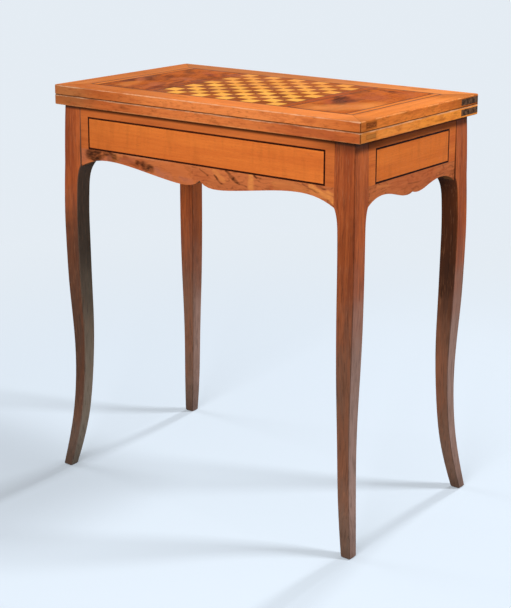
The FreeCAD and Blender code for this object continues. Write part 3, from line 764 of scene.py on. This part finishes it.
# %% [markdown]
# The board's squares were sawn from a few leaves of veneer and each came out a little different. A whole number that
# belongs to each square picks its tone: the place is divided by the size of a square and rounded down, and a white
# noise turns that into chance that never changes. The squares have faded towards the back, and a trace of glue
# shows in the joints between them.

# %% Squares of the board
SQUARES = 10
board_corners = [corner for name in ("light_squares", "dark_squares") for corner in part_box(name)]
BOARD_CORNER = (min(corner.x for corner in board_corners), min(corner.y for corner in board_corners), 0)
SQUARE = (max(corner.x for corner in board_corners) - BOARD_CORNER[0]) / SQUARES


def square_finish(name, piece, light, dark, seed, spread, faded):
    wood = Wood(name, light, dark, "X", seed, waver=0.003, **PANEL_LOOKS)
    from_corner = wood.vector_math("SUBTRACT", wood.coordinates, BOARD_CORNER)
    counted = wood.vector_math("MULTIPLY", from_corner, (1 / SQUARE, 1 / SQUARE, 0))
    whole = wood.vector_math("FLOOR", counted)
    chance = wood.add("ShaderNodeTexWhiteNoise", {"Vector": whole}, noise_dimensions="3D").outputs["Value"]
    wood.darken(spread, chance)
    wood.tint(faded, 0.55, wood.between(wood.y, -0.06, 0.13))
    part = wood.axes(wood.vector_math("FRACTION", counted))
    across, down = [wood.math("MINIMUM", share, wood.rest(share)) for share in part[:2]]
    wood.darken(0.45, wood.between(wood.math("MINIMUM", across, down), 0.016, 0.004))
    wood.finish(piece)


square_finish("light_square_wood", "light_squares", (255, 192, 88), (236, 154, 62), 5.5, 0.18, (214, 128, 66))
square_finish("dark_square_wood", "dark_squares", (178, 96, 40), (138, 66, 26), 9.5, 0.30, (172, 92, 46))
print("squares of", round(SQUARE / MM, 1), "mm")

# %% [markdown]
# The borders take all the wear. What happened to a point of them depends on where it is: how far in from the rounded
# outline, how far from the mitre, on the flat, on the long edge or on the end grain. These distances are worked out
# from the point's place once, and the steps that follow turn them into fading, dirt and wear.

# %% Distances on a border
FRONT_ROUND = 3.5 * MM
BACK_ROUND = 5.0 * MM
BORDER_WIDTH = HALF_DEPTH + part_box("top_stringing")[0].y


class Border(Wood):
    """A border's wood with tones of its flat and of its edge, and the distances that its wear follows."""

    def __init__(self, leaf, side, along, seed, flat_tones, edge_tones):
        super().__init__(leaf + "_" + side + "_wood", *flat_tones, along, seed, waver=0.003, gloss=TOP_GLOSS)
        self.leaf = leaf
        self.bottom, self.top = LEAF_HEIGHTS[leaf]
        from_end = self.less(HALF_LENGTH, self.math("ABSOLUTE", self.x))
        from_side = self.less(HALF_DEPTH, self.math("ABSOLUTE", self.y))
        self.from_mitre = self.apart(from_end, from_side)
        radius = self.between(self.y, -MM, MM, FRONT_ROUND, BACK_ROUND)
        past_end = self.less(radius, from_end)
        past_side = self.less(radius, from_side)
        flat = self.math("MINIMUM", self.math("MAXIMUM", past_end, past_side), 0.0)
        corner = self.vector(self.math("MAXIMUM", past_end, 0.0), self.math("MAXIMUM", past_side, 0.0), 0.0)
        self.inset = self.less(radius, self.math("ADD", self.vector_math("LENGTH", corner), flat))
        self.on_round = self.math("DIVIDE", self.math("MINIMUM", past_end, past_side), radius)
        self.on_edge = self.between(self.inset, 0.0011, 0.0005)
        self.on_flat = self.rest(self.on_edge)
        self.long_edge = self.times(self.on_edge, self.rest(self.end))
        self.end_edge = self.times(self.end, self.on_edge)
        edge_light, edge_dark = edge_tones
        edge_wood = self.mix(self.tone, pigment(*edge_dark), pigment(*edge_light))
        edge_wood = self.mix(self.end, edge_wood, self.colour)
        self.colour = self.mix(self.on_edge, self.colour, edge_wood)


print("borders are", round(BORDER_WIDTH / MM, 1), "mm wide")

# %% [markdown]
# The borders change in tone from place to place. The long edges are greyed at their left end and bright in the
# middle, the flat is brighter towards the right, and the top is darker near its front right and back right corners.
# Such changes are slow, so each one is a soft threshold on the distance along the table.

# %% Fading and handling
LONG_EDGES = {
    "upper": {"greyed": (176, 122, 76), "rise": (-0.25, -0.05), "fall": (0.36, 0.14), "bright": 0.70},
    "lower": {"greyed": (158, 106, 64), "rise": (-0.20, -0.06), "fall": (0.20, 0.11), "bright": 0.30},
}
BRIGHT_EDGE = (252, 152, 84)
BRIGHT_FLAT = (238, 146, 76)
GOLDEN_END = (255, 158, 64)
LEFT_END = (-0.20, -0.29)
RIGHTWARDS = (-0.05, 0.27)
LEFT_HALF = (0.0, -0.12)
FRONT_HALF = (0.0, -0.05)
BACK_OF_END = (-0.08, 0.03)
CORNER_REACH = (0.06, 0.01)
BACK_CORNER = (0.07, 0.15)
RIGHT_HALF = (0.0, 0.05)


def fade(wood):
    """Slow changes of tone along the borders, each between two places in metres from the middle."""
    x, y, between = wood.x, wood.y, wood.between
    if wood.along == "X":
        edge = LONG_EDGES[wood.leaf]
        wood.tint(edge["greyed"], 0.55, wood.long_edge, between(x, *LEFT_END))
        middle = wood.times(between(x, *edge["rise"]), between(x, *edge["fall"]))
        wood.tint(BRIGHT_EDGE, edge["bright"], wood.long_edge, middle)
        wood.tint(BRIGHT_FLAT, 0.5, wood.on_flat, between(x, *RIGHTWARDS))
        wood.darken(0.22, wood.on_flat, between(x, *LEFT_HALF), between(y, *FRONT_HALF))
    elif wood.leaf == "lower":
        # Painted light: a brighter stretch on the lower right edge.
        wood.tint(GOLDEN_END, 0.65, wood.long_edge, between(y, *BACK_OF_END))
    if wood.leaf == "upper" or wood.along == "Y":
        corner = [(HALF_LENGTH, -HALF_DEPTH, z) for z in (wood.bottom, wood.top)]
        by_front_corner = between(wood.from_line(wood.coordinates, *corner), *CORNER_REACH)
        if wood.along == "X":
            by_front_corner = wood.times(by_front_corner, between(wood.on_edge, 1.0, 0.0, 0.3, 1.0))
        wood.darken(0.28, by_front_corner)
    if wood.leaf == "upper" and wood.along == "Y":
        wood.darken(0.34, between(y, *BACK_CORNER), between(x, *RIGHT_HALF))


print("fading ready")

# %% [markdown]
# Dirt has settled in the mitres, along the string and in blots on the flat, and the rougher edges hold more of it.
# On the long edge of the lower leaf the old red polish has lasted near the right corner. Noises at three sizes break
# all this up.

# %% Dirt
BLOTS = (0.05, 0.012)
GRIME = (0.012, 0.004)
FLUSHES = (0.028, 0.007)
RED_POLISH = (168, 76, 42)
FADED_RED = (178, 92, 60)
MITRE_LINE = (0.8 * MM, 0.3 * MM)
DIRT_REACH = (3.0 * MM, 0.6 * MM)
NEAR_CORNER = (0.10, 0.20)
BEFORE_CORNER = (0.33, 0.24)


def soil(wood):
    """Blots, grime, flushes of red polish, and dirt in the mitres and along the string."""
    between = wood.between
    blot = wood.noise(wood.place, *BLOTS, detail=3)
    wood.darken(0.32, between(blot, 0.58, 0.76))
    grime = wood.noise(wood.place, *GRIME, detail=3, rough=0.7)
    wood.darken(0.34, wood.on_edge, between(grime, 0.50, 0.76))
    flush = wood.noise(wood.place, *FLUSHES, detail=3, rough=0.65)
    wood.tint(RED_POLISH, 0.38, wood.on_edge, between(flush, 0.46, 0.70))
    if wood.along == "X" and wood.leaf == "lower":
        near_corner = wood.times(between(wood.x, *NEAR_CORNER), between(wood.x, *BEFORE_CORNER))
        wood.tint(FADED_RED, 0.36, wood.long_edge, near_corner, between(flush, 0.40, 0.62, 0.35, 1.0))
    wood.darken(0.40, between(wood.from_mitre, *MITRE_LINE))
    wood.darken(0.55, between(wood.from_mitre, *DIRT_REACH), wood.on_edge)
    to_string = wood.less(BORDER_WIDTH, wood.inset)
    wood.darken(0.45 if wood.leaf == "upper" else 0.2, between(to_string, *DIRT_REACH))


print("dirt ready")

# %% [markdown]
# The long borders run through the end borders as tenons, and each tenon's end shows on the end edge as a rectangle of
# end grain with a dark joint round it. The CAD gives the tenons; here their ends are darkened and speckled, and the
# joint is drawn as a distance from the rectangle.

# %% Through tenons
TENON_MIDDLE = 0.155
TENON_HALF_WIDTH = 0.013
TENON_HALF_THICKNESS = 0.003
TENON_BLOT = (4.0 * MM, 0.5 * MM)
TENON_JOINT = (0.8 * MM, 0.2 * MM)
PALE_END = (214, 142, 70)
BROWN_END = (176, 98, 50)
DARK_FLECKS = (96, 50, 24)


def past_tenon(wood):
    """How far outside a tenon's end a place on the end edge lies; less than 0 is on the tenon."""
    across = wood.apart(wood.math("ABSOLUTE", wood.y), TENON_MIDDLE)
    up = wood.apart(wood.z, (wood.bottom + wood.top) / 2)
    return wood.math("MAXIMUM", wood.less(across, TENON_HALF_WIDTH), wood.less(up, TENON_HALF_THICKNESS))


def age_ends(wood):
    """The joints round the tenons on an end border, and the tenons' own ends on a long one."""
    between = wood.between
    if wood.along == "Y":
        past = past_tenon(wood)
        wood.darken(0.45 if wood.leaf == "upper" else 0.12, wood.on_edge, between(past, *TENON_BLOT))
        wood.darken(0.6, wood.on_edge, between(wood.math("ABSOLUTE", past), *TENON_JOINT))
    elif wood.leaf == "lower":
        wood.tint(PALE_END, 0.6, wood.end_edge)
    else:
        fleck = wood.noise(wood.coordinates, 0.0035, 0.0022, detail=3, rough=0.6)
        wood.tint(BROWN_END, 0.75, wood.end_edge)
        wood.tint(DARK_FLECKS, 0.85, wood.end_edge, between(fleck, 0.40, 0.60))


print("tenon ends ready")

# %% [markdown]
# Years of sleeves and hands have rubbed the polish off the outer arrises, so a pale broken line runs along them, partly
# this wear and partly a painted highlight where the eased arris catches light. The split between the leaves is darkened
# with dirt and painted shade. A line of even width would look drawn, so a noise decides how wide the pale line is and
# how bare, in spells of some centimetres.

# %% Rubbed and highlighted arrises, and the shaded split
CHAMFER = 1.1 * MM
RUBBED_AND_HIGHLIT = (248, 198, 158)
BARE_AND_HIGHLIT = (250, 176, 112)
SPLIT_SHADE_AND_DIRT = (70, 28, 8)


def worn_and_highlit_line(wood, height, colour, strength, narrow, wide, spell, lean):
    """Pale broken wear and painted highlight on an arris, in spells of some centimetres; a lean over 1 puts more on the
    edge.
    """
    off = wood.math("ADD", wood.times(wood.inset, lean), wood.apart(wood.z, height))
    spells = wood.noise(wood.place, spell, spell / 2, detail=4, rough=0.7)
    reach = wood.between(spells, 0.36, 0.62, narrow, wide)
    line = wood.between(wood.less(wood.less(off, CHAMFER), reach), 0.3 * MM, -0.2 * MM)
    wood.tint(colour, strength, line, wood.between(spells, 0.34, 0.60, 0.45, 1.0))


def rub(wood, upper_arris, lower_arris):
    """The pale arrises and rubbed corner, wear and painted highlight, and the split, darkened with dirt and painted
    shade.
    """
    worn_and_highlit_line(wood, wood.top, *upper_arris)
    worn_and_highlit_line(wood, wood.bottom, *lower_arris)
    away_from_mitre = wood.between(wood.from_mitre, 0.9 * MM, 2.0 * MM)
    # Wear and a painted highlight on the rounded corner.
    wood.tint(BARE_AND_HIGHLIT, 0.12, wood.between(wood.on_round, -0.1, 0.5), away_from_mitre)
    strength, split, packed = 0.8, wood.bottom, 1.0
    if wood.leaf == "lower":
        strength, split = 0.55, wood.top
        packed = wood.between(wood.noise(wood.place, 0.03, 0.01), 0.35, 0.55, 0.5, 1.0)
    # Dirt and painted shade in the split between the leaves.
    at_split = wood.between(wood.apart(wood.z, split), 1.7 * MM, 0.7 * MM)
    wood.tint(SPLIT_SHADE_AND_DIRT, strength, at_split, wood.between(wood.inset, 4.0 * MM, 1.0 * MM), packed)


print("wear ready")

# %% [markdown]
# Every border goes through the same steps, with its own light and dark tone for the flat and for the edge. The edges
# of the right end are given the brightest tones, painted light for the light they catch. A row of wear and highlight
# holds the colour and strength of a pale line, how narrow and how wide it gets, the length of its spells and its lean.

# %% Borders of the two leaves
UPPER_FLATS = {
    "front": ((236, 138, 66), (200, 106, 50)),
    "right": ((234, 140, 66), (202, 112, 50)),
    "back": ((210, 132, 74), (174, 102, 56)),
    "left": ((216, 130, 66), (180, 100, 50)),
}
LOWER_FLAT = ((206, 120, 64), (170, 90, 48))
# The right end's edges get brighter tones, painted light for the light they catch.
UPPER_EDGES = {"front": ((212, 114, 54), (168, 82, 40)), "right": ((244, 142, 64), (200, 106, 48))}
UPPER_PLAIN_EDGE = ((206, 118, 60), (172, 92, 46))
LOWER_EDGES = {"front": ((214, 116, 60), (166, 82, 42)), "right": ((255, 164, 78), (234, 136, 62))}
LOWER_PLAIN_EDGE = ((206, 118, 60), (170, 90, 46))
UPPER_WEAR_AND_HIGHLIGHTS = ((RUBBED_AND_HIGHLIT, 0.62, 0.0006, 0.0014, 0.05, 3.0), (BARE_AND_HIGHLIT, 0.20, -0.0006, 0.0008, 0.03, 1.0))
LOWER_WEAR_AND_HIGHLIGHTS = ((RUBBED_AND_HIGHLIT, 0.52, 0.0001, 0.0010, 0.035, 1.0), (BARE_AND_HIGHLIT, 0.35, -0.0004, 0.0010, 0.05, 1.0))
END_WEAR_AND_HIGHLIGHTS = ((BARE_AND_HIGHLIT, 0.40, -0.0004, 0.0010, 0.03, 2.0), UPPER_WEAR_AND_HIGHLIGHTS[1])

for number, (side, along) in enumerate(SIDES):
    upper_edge = UPPER_EDGES.get(side, UPPER_PLAIN_EDGE)
    lower_edge = LOWER_EDGES.get(side, LOWER_PLAIN_EDGE)
    upper = Border("upper", side, along, 1.7 + 2.3 * number, UPPER_FLATS[side], upper_edge)
    lower = Border("lower", side, along, 13.1 + 2.7 * number, LOWER_FLAT, lower_edge)
    for wood, worn in ((upper, UPPER_WEAR_AND_HIGHLIGHTS if along == "X" else END_WEAR_AND_HIGHLIGHTS), (lower, LOWER_WEAR_AND_HIGHLIGHTS)):
        fade(wood)
        soil(wood)
        age_ends(wood)
        rub(wood, *worn)
        wood.finish(wood.leaf + "_" + side + "_border")
print("borders finished")

# %% [markdown]
# The hinges at the back corners are old brass gone almost black, and the pivot below is iron. Both are metal with a
# dull skin: colour and roughness wander between a bare and a tarnished state.

# %% Old metals
def metal_finish(name, bare, tarnished, rough, metallic, pitting, shine):
    metal = Finish(name)
    spot = metal.noise(metal.coordinates, 0.009, 0.006, detail=3)
    share = metal.between(spot, 0.36, 0.64)
    metal.coat({
        "Base Color": metal.mix(share, pigment(*tarnished), pigment(*bare)),
        "Metallic": metallic,
        "Roughness": metal.between(share, 0.0, 1.0, rough + 0.12, rough - 0.08),
        "Specular IOR Level": shine,
    })
    metal.relief(spot, pitting)
    return metal


hinge_metal = metal_finish("hinge_brass", (104, 70, 44), (52, 35, 24), 0.6, 0.15, 0.03 * MM, 0.12)
hinge_metal.give_to(nodes["lower_hinge_plates"], nodes["upper_hinge_plates"], nodes["hinge_pins"])
iron = metal_finish("pivot_iron", (92, 88, 84), (52, 44, 40), 0.5, 0.9, 0.12 * MM, 0.5)
iron.give_to(nodes["pivot_plate"], nodes["pivot_pin"], nodes["pivot_washer"], nodes["pivot_nut"])
print("metals finished")

# %% [markdown]
# Slotted screws hold the hinge plates, the pivot plate and the stop. A screw's head is seen as two half moons with a
# slot between them, so it is built that way: a thin round bed, and on it two half discs with a slightly domed
# top. Each gets its own turn of the slot, because no two screws ever stop at the same angle.

# %% A slotted screw
HEAD_STEPS = 14
BED_CORNERS = 28
MOON_SHARE = 0.98
CROWN_SHARE = 0.6
SLOT_SHARE = 0.22
BED_LIFT = 0.02 * MM
HEAD_LIFT = 0.35 * MM
HEAD_SUNK = 0.4 * MM
DOME_LIFT = 0.12 * MM


def half_moon(maker, radius, sign):
    """One side of a slotted head, from below the bed up to a domed top."""
    middle = sign * radius * SLOT_SHARE / 2
    start = math.asin(SLOT_SHARE / 2)
    rim = []
    for step in range(HEAD_STEPS + 1):
        angle = start + (math.pi - 2 * start) * step / HEAD_STEPS
        rim.append((radius * math.cos(angle), sign * radius * math.sin(angle)))
    top = [(x * CROWN_SHARE, middle + (y - middle) * CROWN_SHARE) for x, y in rim]
    low = [maker.verts.new((x, y, -HEAD_SUNK)) for x, y in rim]
    high = [maker.verts.new((x, y, HEAD_LIFT)) for x, y in rim]
    crown = [maker.verts.new((x, y, HEAD_LIFT + DOME_LIFT)) for x, y in top]
    for i in range(len(rim)):
        j = (i + 1) % len(rim)
        maker.faces.new((low[i], low[j], high[j], high[i]))
        maker.faces.new((high[i], high[j], crown[j], crown[i]))
    maker.faces.new(crown)
    maker.faces.new(low[::-1])


def screw(name, body, place, outward, radius, turn, finish):
    """A slotted screw head at a place on a surface, its axis along outward."""
    maker = bmesh.new()
    bmesh.ops.create_cone(maker, cap_ends=True, segments=BED_CORNERS, radius1=radius, radius2=radius, depth=HEAD_SUNK)
    bmesh.ops.translate(maker, vec=(0, 0, BED_LIFT - HEAD_SUNK / 2), verts=maker.verts)
    half_moon(maker, radius * MOON_SHARE, 1)
    half_moon(maker, radius * MOON_SHARE, -1)
    bmesh.ops.recalc_face_normals(maker, faces=maker.faces)
    bmesh.ops.rotate(maker, cent=(0, 0, 0), matrix=Matrix.Rotation(turn, 3, "Z"), verts=maker.verts)
    tilt = Vector(outward).to_track_quat("Z", "Y").to_matrix().to_4x4()
    bmesh.ops.transform(maker, matrix=Matrix.Translation(place) @ tilt, verts=maker.verts)
    piece = add_piece(maker, name)
    finish.give_to(piece)
    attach(piece, body)


print("screw ready")

# %% [markdown]
# Three screws hold each hinge plate, in a row along the end edge. They are set out from the CAD plate's own end, as a
# joiner would measure them.

# %% Hinge screws
HINGE_SCREW_RADIUS = 2.9 * MM
HINGE_SCREW_START = 8 * MM
HINGE_SCREW_SPACING = 16 * MM
HINGE_SCREWS = 3
hinge_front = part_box("upper_hinge_plates")[0].y
for leaf, leaf_turn in (("lower", 0), ("upper", 0.8)):
    height = sum(LEAF_HEIGHTS[leaf]) / 2
    for end, sign, end_turn in (("left", -1, 0), ("right", 1, 0.4)):
        for i in range(HINGE_SCREWS):
            place = Vector((sign * HALF_LENGTH, hinge_front + HINGE_SCREW_START + i * HINGE_SCREW_SPACING, height))
            screw(f"{leaf}_{end}_hinge_screw_{i + 1}", leaf + "_leaf", place, (sign, 0, 0), HINGE_SCREW_RADIUS,
                  0.5 + 1.9 * i + leaf_turn + end_turn, hinge_metal)
print(HINGE_SCREWS, "screws in each hinge plate")

# %% [markdown]
# The pivot plate has a screw near each corner, and one goes through the middle of the stop. Their heads look down,
# and they turn with the lower leaf.

# %% Screws under the pivot plate and the stop
PLATE_SCREW_RADIUS = 4 * MM
PLATE_SCREW_INSET = 9 * MM
plate_low, plate_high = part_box("pivot_plate")
stop_low, stop_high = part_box("turn_stop")
spots = [(x, y) for y in (plate_low.y + PLATE_SCREW_INSET, plate_high.y - PLATE_SCREW_INSET)
         for x in (plate_low.x + PLATE_SCREW_INSET, plate_high.x - PLATE_SCREW_INSET)]
below = [("pivot_screw_" + str(number + 1), Vector((x, y, plate_low.z))) for number, (x, y) in enumerate(spots)]
below.append(("stop_screw", Vector(((stop_low.x + stop_high.x) / 2, (stop_low.y + stop_high.y) / 2, stop_low.z))))
for number, (name, place) in enumerate(below):
    screw(name, "lower_leaf", place, (0, 0, -1), PLATE_SCREW_RADIUS, 0.7 + 1.3 * number, iron)
print(len(below), "screws below")

# %% [markdown]
# The inner faces of the leaves are lined with baize, a woollen cloth glued flat. A cloth could be simulated, but glued
# cloth doesn't move, so a fine grid is enough: it follows the recess, rises a hair over lumps of glue, and its
# cut edge is soft. It takes the place of the CAD solid.

# %% A sheet of cloth
CLOTH_STEP = 0.006
CLOTH_LUMP = 0.12 * MM
LUMPS_PER_METRE = 60


def cloth_sheet(name, low, high, up):
    """A closed thin sheet between two corners; up is 1 where its face looks up and -1 where it looks down."""
    maker = bmesh.new()
    (x0, y0, back_height), (x1, y1, face_height) = low, high
    if up < 0:
        back_height, face_height = face_height, back_height
    columns = round((x1 - x0) / CLOTH_STEP)
    rows = round((y1 - y0) / CLOTH_STEP)
    spots = []
    for row in range(rows + 1):
        for column in range(columns + 1):
            x = x0 + (x1 - x0) * column / columns
            y = y0 + (y1 - y0) * row / rows
            lump = CLOTH_LUMP * (1 + noise.noise(Vector((x * LUMPS_PER_METRE, y * LUMPS_PER_METRE, up))))
            at_edge = row in (0, rows) or column in (0, columns)
            spots.append((x, y, up * lump * (2 if at_edge else 1)))
    back = [maker.verts.new((x, y, back_height)) for x, y, _ in spots]
    face = [maker.verts.new((x, y, face_height - sunk)) for x, y, sunk in spots]
    stride = columns + 1
    for row in range(rows):
        for column in range(columns):
            a = row * stride + column
            ring = (a, a + 1, a + 1 + stride, a + stride)
            maker.faces.new([face[i] for i in ring])
            maker.faces.new([back[i] for i in reversed(ring)])
    border = list(range(stride))
    border += [row * stride + columns for row in range(1, rows + 1)]
    border += [rows * stride + column for column in range(columns - 1, -1, -1)]
    border += [row * stride for row in range(rows - 1, 0, -1)]
    for first, second in zip(border, border[1:] + border[:1]):
        maker.faces.new((back[first], back[second], face[second], face[first]))
    bmesh.ops.recalc_face_normals(maker, faces=maker.faces)
    piece = add_piece(maker, name)
    piece.data.polygons.foreach_set("use_smooth", [abs(flat.normal.z) > 0.5 for flat in piece.data.polygons])
    return piece


def lay_cloth(name, low, high, up, wool, body, solid):
    """Lays a sheet of cloth in the place of a CAD solid."""
    cloth = cloth_sheet(name, low, high, up)
    wool.give_to(cloth)
    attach(cloth, body)
    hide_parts(solid)


print("cloth ready")

# %% [markdown]
# Felted wool scatters light between its hairs. Real hairs would be far too many at this size, so the nap is a noise
# of about a millimetre in colour and relief, paler where the cloth is worn, with a little sheen at low angles.

# %% Baize linings
def cloth_finish(name, light, dark):
    """Felted wool: a nap of tiny hairs, paler worn places, and sheen at a low angle."""
    cloth = Finish(name)
    nap = cloth.noise(cloth.coordinates, 0.0012, 0.0012, detail=4, rough=0.7)
    worn = cloth.noise(cloth.coordinates, 0.09, 0.09, detail=3)
    colour = cloth.mix(cloth.between(nap, 0.35, 0.65), pigment(*dark), pigment(*light))
    rubbed = pigment(*[level + 26 for level in light])
    cloth.coat({
        "Base Color": cloth.mix(cloth.between(worn, 0.55, 0.8, 0.0, 0.35), colour, rubbed),
        "Roughness": 0.95,
        "Specular IOR Level": 0.05,
        "Sheen Weight": 0.08,
        "Sheen Roughness": 0.5,
    })
    cloth.relief(nap, 0.25 * MM)
    return cloth


baize = cloth_finish("green_baize", (58, 104, 66), (38, 78, 48))
for leaf, up in (("lower", 1), ("upper", -1)):
    low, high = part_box(leaf + "_baize")
    lay_cloth(leaf + "_baize_lining", low, high, up, baize, leaf + "_leaf", leaf + "_baize")
print("two linings, flat", [round(v, 3) for v in (high.y - low.y, high.x - low.x)], "m")

# %% [markdown]
# Strips of felt on the rails let the top turn without scratching. They are the same kind of cloth, four strips from
# one length, set down where the CAD strips lie.

# %% Felt strips
FELT_WIDTH = 10 * MM
FRONT_REACH = 0.27
SIDE_REACH = 0.14
felt_wool = cloth_finish("bearing_felt_wool", (70, 92, 66), (46, 64, 46))
felt_low, felt_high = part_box("bearing_felts")
corners = [corner.co for corner in nodes["bearing_felts"].data.vertices]
front_end = max(c.x for c in corners if c.y < felt_low.y + FELT_WIDTH + MM and abs(c.x) < FRONT_REACH)
side_end = max(c.y for c in corners if c.x < felt_low.x + FELT_WIDTH + MM and abs(c.y) < SIDE_REACH)
strips = {
    "front": (-front_end, felt_low.y, front_end, felt_low.y + FELT_WIDTH),
    "back": (-front_end, felt_high.y - FELT_WIDTH, front_end, felt_high.y),
    "left": (felt_low.x, -side_end, felt_low.x + FELT_WIDTH, side_end),
    "right": (felt_high.x - FELT_WIDTH, -side_end, felt_high.x, side_end),
}
for side, (x0, y0, x1, y1) in strips.items():
    lay_cloth(side + "_felt", (x0, y0, felt_low.z), (x1, y1, felt_high.z), 1, felt_wool, "frame",
              "bearing_felts")
print(len(strips), "felt strips")

# %% [markdown]

# %% Finish
print("done")
